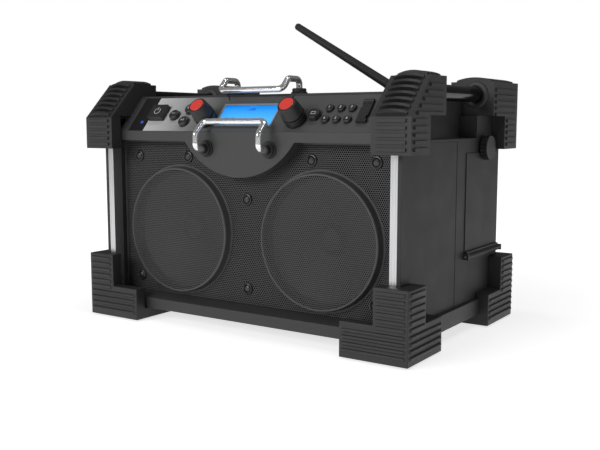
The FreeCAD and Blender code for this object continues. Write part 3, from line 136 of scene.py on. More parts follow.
def ramp(tree, source, stops):
    made = tree.nodes.new("ShaderNodeValToRGB")
    elements = made.color_ramp.elements
    while len(elements) < len(stops):
        elements.new(0.5)
    for element, (place, colour) in zip(elements, stops):
        element.position = place
        element.color = (*colour, 1)
    tree.links.new(source, made.inputs["Fac"])
    return made.outputs["Color"]


def noise(tree, scale, detail=3, stretch=(1, 1, 1)):
    """Noise in the object's own space, stretched along its axes."""
    place = tree.nodes.new("ShaderNodeTexCoord")
    mapping = tree.nodes.new("ShaderNodeMapping")
    mapping.inputs["Scale"].default_value = stretch
    texture = tree.nodes.new("ShaderNodeTexNoise")
    texture.inputs["Scale"].default_value = scale
    texture.inputs["Detail"].default_value = detail
    tree.links.new(place.outputs["Object"], mapping.inputs["Vector"])
    tree.links.new(mapping.outputs["Vector"], texture.inputs["Vector"])
    return texture.outputs["Fac"]


def blank(name):
    material = bpy.data.materials.new(name)
    material.use_nodes = True
    return material, material.node_tree, material.node_tree.nodes["Principled BSDF"]


def grained(name, colour, rough, spread=0.12, grain=900, grain_depth=0.00004, stretch=(1, 1, 1),
            cloud=35, metallic=0.0, coat=0.0, specular=0.5):
    """Moulded or coated surface: cloudy colour, fine grain and uneven gloss."""
    material, tree, shader = blank(name)
    shader.inputs["Metallic"].default_value = metallic
    shader.inputs["Coat Weight"].default_value = coat
    shader.inputs["Specular IOR Level"].default_value = specular
    low = [c * (1 - spread) for c in colour]
    high = [min(1, c * (1 + spread)) for c in colour]
    fine = noise(tree, grain, 4, stretch)
    tree.links.new(ramp(tree, fine, [(0.3, low), (0.7, high)]), shader.inputs["Base Color"])
    broad = noise(tree, cloud, 3, stretch)
    uneven_gloss(tree, shader, broad, max(0.03, rough - 0.08), min(1, rough + 0.08))
    fine_relief(tree, shader, fine, 0.6, grain_depth)
    return material


def uneven_gloss(tree, shader, source, low, high):
    gloss = node_of(tree, "ShaderNodeMapRange")
    gloss.inputs["To Min"].default_value = low
    gloss.inputs["To Max"].default_value = high
    tree.links.new(source, gloss.inputs["Value"])
    tree.links.new(gloss.outputs["Result"], shader.inputs["Roughness"])


def fine_relief(tree, shader, source, strength, depth):
    bump = tree.nodes.new("ShaderNodeBump")
    bump.inputs["Strength"].default_value = strength
    bump.inputs["Distance"].default_value = depth
    tree.links.new(source, bump.inputs["Height"])
    tree.links.new(bump.outputs["Normal"], shader.inputs["Normal"])


def math_node(tree, operation, first, second=None):
    made = node_of(tree, "ShaderNodeMath", operation=operation)
    for index, value in enumerate((first, second)):
        if value is None:
            continue
        if isinstance(value, (int, float)):
            made.inputs[index].default_value = value
        else:
            tree.links.new(value, made.inputs[index])
    return made.outputs["Value"]


def deck_axes(tree):
    """Sockets for the place across the deck, up its slope and above it, in metres."""
    place = tree.nodes.new("ShaderNodeTexCoord")
    local = node_of(tree, "ShaderNodeVectorMath", operation="SUBTRACT")
    local.inputs[1].default_value = DECK_ORIGIN
    tree.links.new(place.outputs["Object"], local.inputs[0])
    axes = []
    for direction in (Vector((1, 0, 0)), DECK_UP, DECK_OUT):
        dot = node_of(tree, "ShaderNodeVectorMath", operation="DOT_PRODUCT")
        dot.inputs[1].default_value = direction
        tree.links.new(local.outputs["Vector"], dot.inputs[0])
        axes.append(dot.outputs["Value"])
    return axes


def fascia_material():
    """Charcoal moulding whose sloped panel fades to silver towards the power button."""
    material, tree, shader = blank("fascia_charcoal")
    across, along, above = deck_axes(tree)
    shift = node_of(tree, "ShaderNodeMapRange")
    shift.inputs["From Min"].default_value = SILVER_LEFT * MM
    shift.inputs["From Max"].default_value = 0.0
    tree.links.new(across, shift.inputs["Value"])
    fade = ramp(tree, shift.outputs["Result"],
                [(0.0, (0.72, 0.72, 0.72)), (0.25, (0.52, 0.52, 0.52)),
                 (0.5, (0.25, 0.25, 0.25)), (0.8, (0.1, 0.1, 0.101))])
    below_face = -0.6
    inside = math_node(tree, "GREATER_THAN", across, SILVER_LEFT * MM)
    for operation, place, limit in (("GREATER_THAN", along, SILVER_FOOT),
                                    ("LESS_THAN", along, PANEL_HEAD),
                                    ("GREATER_THAN", above, below_face)):
        inside = math_node(tree, "MULTIPLY", inside, math_node(tree, operation, place, limit * MM))
    fine = noise(tree, 1300, 4)
    plain = ramp(tree, fine, [(0.3, (0.058, 0.058, 0.059)), (0.7, (0.072, 0.072, 0.073))])
    mix = node_of(tree, "ShaderNodeMix", data_type="RGBA")
    tree.links.new(inside, mix.inputs["Factor"])
    tree.links.new(plain, mix.inputs["A"])
    tree.links.new(fade, mix.inputs["B"])
    tree.links.new(mix.outputs["Result"], shader.inputs["Base Color"])
    uneven_gloss(tree, shader, noise(tree, 60), 0.42, 0.55)
    fine_relief(tree, shader, fine, 0.5, 0.00002)
    return material


def display_material():
    """Backlit blue screen, deeper at its top; the lighter colour towards its foot is a painted
    highlight.
    """
    material, tree, shader = blank("display_blue")
    along = deck_axes(tree)[1]
    shift = node_of(tree, "ShaderNodeMapRange")
    shift.inputs["From Min"].default_value = DISPLAY_LOW * MM
    shift.inputs["From Max"].default_value = DISPLAY_HIGH * MM
    tree.links.new(along, shift.inputs["Value"])
    # Painted highlight: the ramp is lighter towards the screen's foot.
    glow = ramp(tree, shift.outputs["Result"],
                [(0.0, (0.10, 0.50, 1.0)), (0.45, (0.06, 0.42, 1.0)), (0.72, (0.03, 0.33, 0.98)),
                 (0.9, (0.0, 0.27, 0.92)), (1.0, (0.0, 0.16, 0.62))])
    tree.links.new(glow, shader.inputs["Base Color"])
    tree.links.new(glow, shader.inputs["Emission Color"])
    shader.inputs["Emission Strength"].default_value = 0.55
    shader.inputs["Coat Weight"].default_value = 0.3
    uneven_gloss(tree, shader, noise(tree, 300), 0.14, 0.22)
    return material


def lamp_material():
    material, tree, shader = blank("lamp_blue")
    glow = ramp(tree, noise(tree, 900), [(0.3, (0.02, 0.10, 0.85)), (0.7, (0.05, 0.2, 1.0))])
    tree.links.new(glow, shader.inputs["Base Color"])
    tree.links.new(glow, shader.inputs["Emission Color"])
    shader.inputs["Emission Strength"].default_value = 0.25
    shader.inputs["Roughness"].default_value = 0.25
    return material


MATERIALS = {
    "guard_rubber": grained("guard_rubber", (0.034, 0.034, 0.0345), 0.5, grain=1100),
    "post_metal": grained("post_metal", (0.6, 0.6, 0.61), 0.3, 0.05, 2200, 0.00001,
                          (1, 1, 0.01), metallic=0.9),
    "rail_plastic": grained("rail_plastic", (0.055, 0.055, 0.056), 0.5),
    "handle_black": grained("handle_black", (0.005, 0.005, 0.0055), 0.16, 0.1, 400, 0.000005,
                            specular=0.2),
    "shell_plastic": grained("shell_plastic", (0.034, 0.034, 0.0345), 0.6, 0.22, 1500, 0.00006),
    "fascia_plastic": fascia_material(),
    "grille_metal": grained("grille_metal", (0.1, 0.1, 0.101), 0.5, 0.1, 1500, 0.00001),
    "screw_black": grained("screw_black", (0.03, 0.03, 0.03), 0.33, coat=0.2),
    "frame_metal": grained("frame_metal", (0.03, 0.03, 0.03), 0.5),
    "cone_black": grained("cone_black", (0.014, 0.014, 0.014), 0.6, 0.25, 500, 0.0001),
    "magnet_iron": grained("magnet_iron", (0.16, 0.16, 0.165), 0.5, metallic=0.6),
    "chrome_rod": grained("chrome_rod", (0.95, 0.95, 0.96), 0.14, 0.02, 500, 0.000002,
                          metallic=0.75),
    "boss_rubber": grained("boss_rubber", (0.024, 0.024, 0.024), 0.5),
    "knob_black": grained("knob_black", (0.026, 0.026, 0.0265), 0.48, 0.15, 1500),
    "skirt_black": grained("skirt_black", (0.013, 0.013, 0.013), 0.4, 0.15, 1500),
    "cap_red": grained("cap_red", (1.0, 0.075, 0.06), 0.42, 0.0, 800, 0.000005, coat=0.2),
    "button_rubber": grained("button_rubber", (0.03, 0.03, 0.0305), 0.42, 0.12, 1500),
    "bezel_grey": grained("bezel_grey", (0.38, 0.38, 0.385), 0.35, 0.06, 1500, 0.00001),
    "lens_clear": display_material(),
    "module_blue": grained("module_blue", (0.02, 0.3, 0.8), 0.3),
    "lamp_blue": lamp_material(),
    "board_green": grained("board_green", (0.02, 0.13, 0.05), 0.35, 0.3, 200, coat=0.3),
    "pin_steel": grained("pin_steel", (0.5, 0.5, 0.5), 0.3, metallic=1.0),
    "whip_rubber": grained("whip_rubber", (0.016, 0.016, 0.016), 0.62, 0.15, 1200),
}
PRINT_WHITE = grained("print_white", (0.75, 0.75, 0.76), 0.5, 0.04)
# Near-black for the sheet of painted shade behind the grille, and for the dark shell seams.
SHADE_SHEET_AND_SEAM_BLACK = grained("shade_sheet_and_seam_black", (0.003, 0.003, 0.003), 0.8, specular=0.1)
SEGMENT_BLUE = grained("segment_blue", (0.03, 0.12, 0.55), 0.4, 0.05)


# Mesh helpers

SHARP_ANGLE = math.radians(32)


def finish_mesh(name, mesh, body, slot, material=None):
    """Object on a body, smooth up to the sharp angle, in its slot's material or another one."""
    mesh.materials.append(material or MATERIALS[slot])
    for face in mesh.polygons:
        face.use_smooth = True
    mesh.set_sharp_from_angle(angle=SHARP_ANGLE)
    piece = bpy.data.objects.new(name, mesh)
    bpy.context.scene.collection.objects.link(piece)
    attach(piece, body)
    return piece


def from_bmesh(name, build, body, slot, material=None):
    mesh = bpy.data.meshes.new(name)
    bmesh.ops.recalc_face_normals(build, faces=build.faces)
    build.to_mesh(mesh)
    build.free()
    return finish_mesh(name, mesh, body, slot, material)


def millimetres(place):
    """Matrix that takes millimetres in a local frame to metres in the shared frame."""
    return place @ Matrix.Scale(MM, 4)


def at(x, y, z):
    return Matrix.Translation(Vector((x, y, z)) * MM)


def on_deck(across, along, above=0):
    return DECK @ at(across, along, above)


def add_lathe(build, profile, place, segments=48):
    """Turn points (radius, height), in millimetres, about the local Z of a place."""
    matrix = millimetres(place)
    rings = []
    for radius, height in profile:
        if radius == 0:
            rings.append([build.verts.new(matrix @ Vector((0, 0, height)))])
            continue
        ring = []
        for index in range(segments):
            angle = 2 * math.pi * index / segments
            point = Vector((radius * math.cos(angle), radius * math.sin(angle), height))
            ring.append(build.verts.new(matrix @ point))
        rings.append(ring)
    for lower, upper in zip(rings, rings[1:]):
        for index in range(segments):
            after = (index + 1) % segments
            if len(lower) == 1:
                build.faces.new((lower[0], upper[after], upper[index]))
            elif len(upper) == 1:
                build.faces.new((lower[index], lower[after], upper[0]))
            else:
                build.faces.new((lower[index], lower[after], upper[after], upper[index]))


def add_bar(build, low, high, place, bevel=0.2):
    """Box with chamfered upper edges between two local corners, in millimetres."""
    matrix = millimetres(place)
    (x0, y0, z0), (x1, y1, z1) = low, high
    rings = []
    for inset, height in ((0, z0), (0, z1 - bevel), (bevel, z1)):
        ring = []
        for x, y in ((x0 + inset, y0 + inset), (x1 - inset, y0 + inset),
                     (x1 - inset, y1 - inset), (x0 + inset, y1 - inset)):
            ring.append(build.verts.new(matrix @ Vector((x, y, height))))
        rings.append(ring)
    for lower, upper in zip(rings, rings[1:]):
        for index in range(4):
            after = (index + 1) % 4
            build.faces.new((lower[index], lower[after], upper[after], upper[index]))
    build.faces.new(rings[-1])
    build.faces.new(list(reversed(rings[0])))


def dressed(node, width):
    """Round the edges of a carried-over solid, width in millimetres."""
    piece = NODES[node]
    weld = piece.modifiers.new("weld", "WELD")
    weld.merge_threshold = 0.01 * MM
    bevel = piece.modifiers.new("edges", "BEVEL")
    bevel.width = width * MM
    bevel.segments = 2
    bevel.limit_method = "ANGLE"
    bevel.angle_limit = math.radians(34)
    bevel.use_clamp_overlap = True
    normals = piece.modifiers.new("normals", "WEIGHTED_NORMAL")
    normals.keep_sharp = False
    normals.weight = 60


# Carried-over solids

for entry in frame["record"]["subparts"]:
    solid = NODES[entry["node"]]
    solid.data.materials.clear()
    solid.data.materials.append(MATERIALS[entry["material_slot"]])

EDGES = {"%s_guard_%s_%s" % (level, end, side): 1.1
         for level in ("lower", "upper") for end in ("front", "rear") for side in ("right", "left")}
EDGES.update({
    "front_posts": 0.5, "rear_posts": 0.5, "front_rail": 0.8, "base_tray": 0.7,
    "front_shell": 0.5, "rear_shell": 0.5, "top_cover": 0.8, "control_fascia": 0.9,
    "power_button": 0.9, "station_button": 0.7, "display_bezel": 0.25,
    "aux_flap": 0.5, "compartment_door": 0.5, "rear_panel": 0.4, "mains_inlet": 0.4,
    "antenna_turret": 0.4, "thumb_screw": 0.5,
})
for edged, edge_width in EDGES.items():
    dressed(edged, edge_width)


# Grille

HOLE_PITCH = 2.5
HOLE_RADIUS = 1.06


def add_perforated(build, plane, accept):
    """Sheet of hexagonal cells in the XZ plane, each with a hole, where accept(x, z) is true."""
    per_millimetre = 20
    corner = [(math.cos(math.radians(60 * k + 30)), math.sin(math.radians(60 * k + 30)))
              for k in range(6)]
    cell = HOLE_PITCH / math.sqrt(3)
    shared = {}
    rows = int((GRILLE_TOP - GRILLE_LOW) / (cell * 1.5)) + 2
    columns = int(2 * GRILLE_HALF / HOLE_PITCH) + 2
    for row in range(rows):
        z = GRILLE_LOW + row * cell * 1.5
        for column in range(columns):
            x = -GRILLE_HALF + (column + (row % 2) / 2) * HOLE_PITCH
            if not accept(x, z):
                continue
            outer, inner = [], []
            for dx, dz in corner:
                key = (round((x + dx * cell) * per_millimetre),
                       round((z + dz * cell) * per_millimetre))
                if key not in shared:
                    point = Vector((x + dx * cell, plane, z + dz * cell)) * MM
                    shared[key] = build.verts.new(point)
                outer.append(shared[key])
                point = Vector((x + dx * HOLE_RADIUS, plane, z + dz * HOLE_RADIUS)) * MM
                inner.append(build.verts.new(point))
            for index in range(6):
                after = (index + 1) % 6
                build.faces.new((outer[index], outer[after], inner[after], inner[index]))


def off_discs(x, z):
    """Distance to the middle of the nearer disc."""
    return min(math.hypot(x - side, z - DISC_HEIGHT) for side in (-DISC_SIDE, DISC_SIDE))


def grille():
    build = bmesh.new()
    edge = 1.4
    around_screw = 5
    rim = 1.4
    border = 2.4

    def in_field(x, z):
        inside = abs(x) < GRILLE_HALF - edge and GRILLE_LOW + edge < z < GRILLE_TOP - edge
        clear = min(math.hypot(x - sx, z - sz) for sx, sz in SCREWS) > around_screw
        return inside and clear and off_discs(x, z) > DISC_FOOT + 1

    add_perforated(build, GRILLE_PLANE, in_field)
    add_perforated(build, DISC_PLANE, lambda x, z: off_discs(x, z) < DISC_RADIUS - rim)
    for side in (-DISC_SIDE, DISC_SIDE):
        hub = at(side, GRILLE_PLANE, DISC_HEIGHT) @ FACING_FRONT
        proud = GRILLE_PLANE - DISC_PLANE
        profile = [(DISC_FOOT + 2.2, 0.02), (DISC_FOOT + 0.4, 0.06), (DISC_FOOT, 0.5),
                   (DISC_RADIUS + 0.3, proud - 0.9), (DISC_RADIUS - 0.5, proud - 0.1),
                   (DISC_RADIUS - 1.2, proud + 0.04), (DISC_RADIUS - 2.0, proud + 0.02)]
        add_lathe(build, profile, hub, 128)
    for x, z in SCREWS:
        hub = at(x, GRILLE_PLANE, z) @ FACING_FRONT
        add_lathe(build, [(6.6, 0.02), (4.2, 0.02), (1.8, 0.02)], hub, 32)
    frame_bars = [((-GRILLE_HALF, GRILLE_LOW), (GRILLE_HALF, GRILLE_LOW + border)),
                  ((-GRILLE_HALF, GRILLE_TOP - border), (GRILLE_HALF, GRILLE_TOP)),
                  ((-GRILLE_HALF, GRILLE_LOW), (-GRILLE_HALF + border, GRILLE_TOP)),
                  ((GRILLE_HALF - border, GRILLE_LOW), (GRILLE_HALF, GRILLE_TOP))]
    for (x0, z0), (x1, z1) in frame_bars:
        place = at(0, GRILLE_PLANE + 0.6, 0) @ FACING_FRONT
        add_bar(build, (x0, z0, 0), (x1, z1, 0.64), place, 0.1)
    piece = from_bmesh("grille_sheet", build, "cabinet", "grille_metal")
    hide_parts("grille")


grille()


def speaker_cloth():
    """Black sheet of painted shade between the grille and the baffle, darkening the holes, open
    over the speakers.
    """
    build = bmesh.new()
    plane = GRILLE_PLANE + 0.75
    border = 2.6
    low, high = GRILLE_LOW + border, GRILLE_TOP - border
    edge = GRILLE_HALF - border
    opening, least_reach = 69, 69.5
    level = 0.001
    steps = 64
    for side in (-1, 1):
        left, right = (0, edge) if side > 0 else (-edge, 0)
        inner, outer = [], []
        for index in range(steps):
            angle = 2 * math.pi * index / steps
            dx, dz = math.cos(angle), math.sin(angle)
            limits = []
            if abs(dx) > level:
                limits.append(((right if dx > 0 else left) - side * DISC_SIDE) / dx)
            if abs(dz) > level:
                limits.append(((high if dz > 0 else low) - DISC_HEIGHT) / dz)
            for ring, radius in ((inner, opening), (outer, max(min(limits), least_reach))):
                spot = Vector((side * DISC_SIDE + dx * radius, plane, DISC_HEIGHT + dz * radius))
                ring.append(build.verts.new(spot * MM))
        for index in range(steps):
            after = (index + 1) % steps
            build.faces.new((inner[index], inner[after], outer[after], outer[index]))
    from_bmesh("speaker_cloth", build, "cabinet", "cone_black", SHADE_SHEET_AND_SEAM_BLACK)


speaker_cloth()


def screw_rings():
    build = bmesh.new()
    profile = [(4.5, 0.1), (4.7, 1.3), (5.3, 1.9), (6.2, 1.6), (6.9, 0.5), (7.0, 0.0)]
    for x, z in SCREWS:
        add_lathe(build, profile, at(x, GRILLE_PLANE - 0.05, z) @ FACING_FRONT, 40)
    from_bmesh("grille_screw_rings", build, "cabinet", "screw_black")


screw_rings()


# Knobs and buttons

def knobs():
    skirt = [(3, 0.4), (12.1, 0.4), (12.6, 1.0), (12.75, 8.4), (12.4, 8.9), (10.6, 9.0)]
    waist = [(10.6, 9.0), (10.6, 10.2), (12.2, 10.3), (12.5, 10.7), (12.4, 11.4), (10.85, 23.8),
             (10.5, 24.9), (9.8, 25.6), (8.9, 25.8), (8.3, 25.7), (8.25, 24.5), (0, 24.5)]
    for knob, (across, along) in KNOBS.items():
        build = bmesh.new()
        add_lathe(build, skirt, on_deck(across, along), 72)
        lower = from_bmesh(knob + "_skirt", build, knob, "knob_black", MATERIALS["skirt_black"])
        build = bmesh.new()
        add_lathe(build, waist, on_deck(across, along), 72)
        upper = from_bmesh(knob + "_grip", build, knob, "knob_black")
        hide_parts(knob)
        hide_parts(knob)


knobs()


ROUND_RADIUS, ROUND_HEIGHT = 6.8, 5.2
PRESET_RADIUS, PRESET_HEIGHT = 4.5, 3.6


def domed_button(node, across, along, radius, height):
    """Button with a straight foot under the deck and a dome above it."""
    root = -4
    profile = [(0, root), (radius, root), (radius, height * 0.35),
               (radius * 0.985, height * 0.55)]
    for step in range(1, 8):
        angle = math.radians(90 * step / 7)
        reach = radius * (0.62 + 0.36 * math.cos(angle))
        profile.append((reach, height * (0.55 + 0.42 * math.sin(angle))))
    profile += [(radius * 0.35, height * 0.995), (0, height)]
    build = bmesh.new()
    add_lathe(build, profile, on_deck(across, along), 40)
    piece = from_bmesh(node + "_cap", build, node, "button_rubber")
    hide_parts(node)


for button, (button_x, button_s) in ROUND_BUTTONS.items():
    domed_button(button, button_x, button_s, ROUND_RADIUS, ROUND_HEIGHT)
for number, (button_x, button_s) in enumerate(PRESETS, start=1):
    domed_button("preset_button_%d" % number, button_x, button_s, PRESET_RADIUS, PRESET_HEIGHT)


def printed(name, body, place, text, height):
    """Flat printed numeral, turned into a mesh on its button."""
    curve = bpy.data.curves.new(name, "FONT")
    curve.body = text
    curve.size = height * MM
    curve.align_x = "CENTER"
    curve.align_y = "CENTER"
    curve.extrude = 0.00005
    curve.offset = 0.00006
    helper = bpy.data.objects.new(name + "_curve", curve)
    bpy.context.scene.collection.objects.link(helper)
    bpy.context.view_layer.update()
    mesh = bpy.data.meshes.new_from_object(helper)
    mesh.transform(place)
    bpy.data.objects.remove(helper)
    mesh.materials.clear()
    finish_mesh(name, mesh, body, "button_rubber", PRINT_WHITE)


for number, (button_x, button_s) in enumerate(PRESETS, start=1):
    printed("numeral_%d" % number, "preset_button_%d" % number,
            on_deck(button_x, button_s, PRESET_HEIGHT + 0.02), str(number), 4.4)


def power_symbol():
    build = bmesh.new()
    power_face = 6.03
    place = millimetres(on_deck(POWER[0], POWER[1], power_face))
    radius, width = 4.2, 0.75
    gap = 70
    line_low, line_high = 0.9, 5.4
    steps = 26
    rings = []
    for index in range(steps + 1):
        angle = math.radians(90 + gap / 2 + (360 - gap) * index / steps)
        direction = Vector((math.cos(angle), math.sin(angle), 0))
        inner = build.verts.new(place @ (direction * (radius - width / 2)))
        outer = build.verts.new(place @ (direction * (radius + width / 2)))
        rings.append((inner, outer))
    for (a, b), (c, d) in zip(rings, rings[1:]):
        build.faces.new((a, b, d, c))
    line = [build.verts.new(place @ Vector(p)) for p in
            ((-width / 2, line_low, 0), (width / 2, line_low, 0),
             (width / 2, line_high, 0), (-width / 2, line_high, 0))]
    build.faces.new(line)
    from_bmesh("power_symbol", build, "power_button", "button_rubber", PRINT_WHITE)


power_symbol()


def button_marks():
    """Small plain bars on the round and hexagonal buttons."""
    marks = {
        "mode_button": (ROUND_BUTTONS["mode_button"], [(-2.6, 0.2, 2.6, 0.9)]),
        "equalizer_button": (ROUND_BUTTONS["equalizer_button"],
                             [(-2, -1.3, -1.3, 1.5), (-0.4, -1.3, 0.3, 0.6),
                              (1.2, -1.3, 1.9, 2.1)]),
        "menu_button": (ROUND_BUTTONS["menu_button"],
                        [(-2.2, 1.1, 2.2, 1.7), (-2.2, -0.3, 2.2, 0.3),
                         (-2.2, -1.7, 2.2, -1.1)]),
        "station_button": (STATION, [(-2.8, 1.2, 2.8, 1.8), (-2.8, -1.8, 2.8, -1.2),
                                     (-2.8, -1.2, -2.2, 1.2), (2.2, -1.2, 2.8, 1.2)]),
    }
    hexagon_face, dome_face = 5.52, 5.1
    for button_name, ((across, along), bars) in marks.items():
        above = hexagon_face if button_name == "station_button" else dome_face
        build = bmesh.new()
        for x0, s0, x1, s1 in bars:
            add_bar(build, (x0, s0, 0), (x1, s1, 0.16), on_deck(across, along, above), 0.04)
        from_bmesh(button_name + "_mark", build, button_name, "button_rubber", PRINT_WHITE)


button_marks()


# Display

SEGMENTS = {"0": "abcdef", "1": "bc", "4": "fgbc", "8": "abcdefg"}


def segment_bars(width, height, thick):
    """The seven bars of a digit, each as left, foot, right and head."""
    half = height / 2
    return {
        "a": (0, height - thick, width, height), "b": (width - thick, half, width, height),
        "c": (width - thick, 0, width, half), "d": (0, 0, width, thick),
        "e": (0, 0, thick, half), "f": (0, half, thick, height),
        "g": (0, half - thick / 2, width, half + thick / 2),
    }


def display_digits():
    build = bmesh.new()
    bars = segment_bars(3.0, 5.6, 0.55)
    thick, over_screen, chamfer = 0.06, 0.01, 0.01
    along = 15
    across = DISPLAY_LEFT + 4
    spacing = 4.6
    for sign in "1048":
        for part in SEGMENTS[sign]:
            x0, s0, x1, s1 = bars[part]
            place = on_deck(across, along, over_screen)
            add_bar(build, (x0, s0, 0), (x1, s1, thick), place, chamfer)
        across += spacing
    signal_left, signal_foot, signal_width, signal_step = 34, 31, 1.4, 2.2
    for index in range(5):
        left = signal_left + signal_step * index
        low = (left, signal_foot, 0)
        high = (left + signal_width, signal_foot + 1 + 0.7 * index, thick)
        add_bar(build, low, high, on_deck(DISPLAY_LEFT, 0, over_screen), chamfer)
    from_bmesh("display_digits", build, "cabinet", "module_blue", SEGMENT_BLUE)


display_digits()


# Deck trim

def deck_trim():
    """Raised lines round the sloped panel, and the dark strip that holds the pilot lamp, which is
    partly painted shadow of the left guard.
    """
    sunk = -0.02
    face = on_deck(0, 0, sunk)
    line = 0.8
    build = bmesh.new()
    add_bar(build, (-PANEL_HALF, PANEL_HEAD, 0), (PANEL_HALF, PANEL_HEAD + line, 0.55), face, 0.15)
    for side in (-PANEL_HALF, PANEL_HALF - line):
        add_bar(build, (side, PANEL_FOOT, 0), (side + line, PANEL_HEAD, 0.5), face, 0.15)
    from_bmesh("deck_lines", build, "cabinet", "fascia_plastic", MATERIALS["rail_plastic"])
    # Dark strip round the pilot lamp; its dark colour also stands in as painted shadow of the left
    # guard on the deck.
    build = bmesh.new()
    lap = 0.1
    rise = 0.35
    for low, high in (((STRIP_LEFT, PANEL_FOOT, 0), (LAMP_LEFT, STRIP_HEAD, rise)),
                      ((LAMP_RIGHT, PANEL_FOOT, 0), (SILVER_LEFT, STRIP_HEAD, rise)),
                      ((LAMP_LEFT - lap, PANEL_FOOT, 0), (LAMP_RIGHT + lap, LAMP_LOW, rise)),
                      ((LAMP_LEFT - lap, LAMP_HIGH, 0), (LAMP_RIGHT + lap, STRIP_HEAD, rise))):
        add_bar(build, low, high, face, 0.12)
    from_bmesh("lamp_strip_and_guard_shadow", build, "cabinet", "fascia_plastic", MATERIALS["skirt_black"])
    # Two dark slanted bars on the deck in front of the roll bar bosses.
    build = bmesh.new()
    dark_bar_place, dark_bar_turn = 50.2, 38
    for across, lean in ((-36, -1), (52, 1)):
        place = (on_deck(across, dark_bar_place)
                 @ Matrix.Rotation(math.radians(-dark_bar_turn * lean), 4, "Z"))
        add_bar(build, (-0.7, -4.5, sunk), (0.7, 4.5, 0.6), place, 0.15)
    from_bmesh("deck_dark_bars", build, "cabinet", "fascia_plastic", MATERIALS["skirt_black"])


deck_trim()


def flap_grip():
    """Raised grips on the lid over the auxiliary socket."""
    build = bmesh.new()
    left, right, width = 147.6, 155.8, 1.1
    for along in (14.4, 16.6, 34.2, 36.4):
        add_bar(build, (left, along, 3.3), (right, along + width, 4.0), DECK, 0.25)
    from_bmesh("aux_flap_grip", build, "aux_flap", "boss_rubber")


flap_grip()


# Handles and guards

def handle_collars():
    profile = [(8.9, 0.0), (8.9, 1.6), (10.2, 2.2), (13.6, 2.0), (15.2, 1.2), (15.6, -0.1)]
    build = bmesh.new()
    for side in (-1, 1):
        for end, turn in ((-HANDLE_END, ALONG_Y), (HANDLE_END, FACING_FRONT)):
            add_lathe(build, profile, at(side * HANDLE_SIDE, end, HANDLE_HEIGHT) @ turn)
    from_bmesh("handle_collars", build, "cabinet", "guard_rubber")


handle_collars()


def post_lines():
    """Fine ridges that run down the outer face of each post, front and rear."""
    build = bmesh.new()
    for side in (-1, 1):
        for face, turn in ((-POST_FACE, FACING_FRONT), (POST_FACE, FACING_REAR)):
            for offset in POST_RIDGES:
                place = at(side * offset, face, 0) @ turn
                add_bar(build, (-0.3, POST_LOW, -0.05), (0.3, POST_HIGH, 0.22), place, 0.1)
    from_bmesh("post_lines", build, "cabinet", "post_metal")


post_lines()


# Roll bar bosses

def boss_details():
    build = bmesh.new()
    ring = [(8.0, 0.0), (9.2, 0.0), (9.4, 1.6), (8.8, 2.4), (8.0, 2.4)]
    for side in (-BOSS_SIDE, BOSS_SIDE):
        add_lathe(build, ring, at(side, FASCIA_FRONT, FRONT_BOSS_HEIGHT) @ FACING_FRONT)
        add_lathe(build, ring, at(side, TOP_BOSS_PLACE, COVER_TOP))
    from_bmesh("boss_rings", build, "cabinet", "boss_rubber")


boss_details()


# Rear and top

def rear_details():
    build = bmesh.new()
    face = at(0, REAR_FACE, 0) @ FACING_REAR
    lowest, pitch, half, width = 150, 4.2, 24, 1.8
    for row in range(9):
        z = lowest + row * pitch
        for centre in (-70, 0, 70):
            low, high = (centre - half, z, -0.05), (centre + half, z + width, 0.9)
            add_bar(build, low, high, face, 0.35)
    from_bmesh("rear_ribs", build, "cabinet", "shell_plastic")
    build = bmesh.new()
    dome = [(3.9, 0.0), (3.8, 0.9), (2.9, 1.7), (1.3, 2.0), (1.2, 0.9), (0, 0.9)]
    for x in (-133, 0, 133):
        for z in (55, 189):
            add_lathe(build, dome, at(x, REAR_FACE - 0.05, z) @ ALONG_Y, 32)
    from_bmesh("rear_screws", build, "cabinet", "screw_black")


rear_details()


def shell_seams():
    """Dark line on each side wall where the front and the rear shell meet."""
    build = bmesh.new()
    half = 0.55
    for side, low, high in ((-1, SEAM_LOW, SEAM_HIGH), (1, -SEAM_HIGH, -SEAM_LOW)):
        turn = Matrix.Rotation(side * math.radians(90), 4, "Y")
        place = at(side * WALL_FACE, SEAM_PLACE, 0) @ turn
        add_bar(build, (low, -half, 0), (high, half, 0.12), place, 0.04)
    from_bmesh("shell_seams", build, "cabinet", "shell_plastic", SHADE_SHEET_AND_SEAM_BLACK)


shell_seams()


def whip_rings():
    """Grip rings at the root of the antenna's sleeve."""
    place = at(*WHIP_PIVOT) @ Matrix.Rotation(math.radians(WHIP_LEAN - 90), 4, "Y")
    build = bmesh.new()
    for height in (13, 16, 19):
        profile = [(5.6, height), (6.35, height + 0.4), (6.35, height + 1.2), (5.6, height + 1.6)]
        add_lathe(build, profile, place, 40)
    from_bmesh("whip_rings", build, "antenna_whip", "whip_rubber")


whip_rings()


# Camera, floor and light

LENS = 50.544
EYE = (0.5748, -0.8589, 0.2391)
EYE_TURN, EYE_DOWN = 33.84, 6.97


def camera():
    data = bpy.data.cameras.new("camera")
    data.sensor_fit = "HORIZONTAL"
    data.sensor_width = 36
    data.lens = LENS
    data.clip_end = 50
    eye = bpy.data.objects.new("camera", data)
    eye.location = EYE
    eye.rotation_euler = (math.radians(90 - EYE_DOWN), 0, math.radians(EYE_TURN))
    bpy.context.scene.collection.objects.link(eye)
    bpy.context.scene.camera = eye


camera()


def seen_directly(tree):
    """One for camera, mirror and glass rays, zero for light that falls on the object."""
    path = tree.nodes.new("ShaderNodeLightPath")
    total = math_node(tree, "MAXIMUM", path.outputs["Is Camera Ray"],
                      path.outputs["Is Glossy Ray"])
    return math_node(tree, "MAXIMUM", total, path.outputs["Is Transmission Ray"])


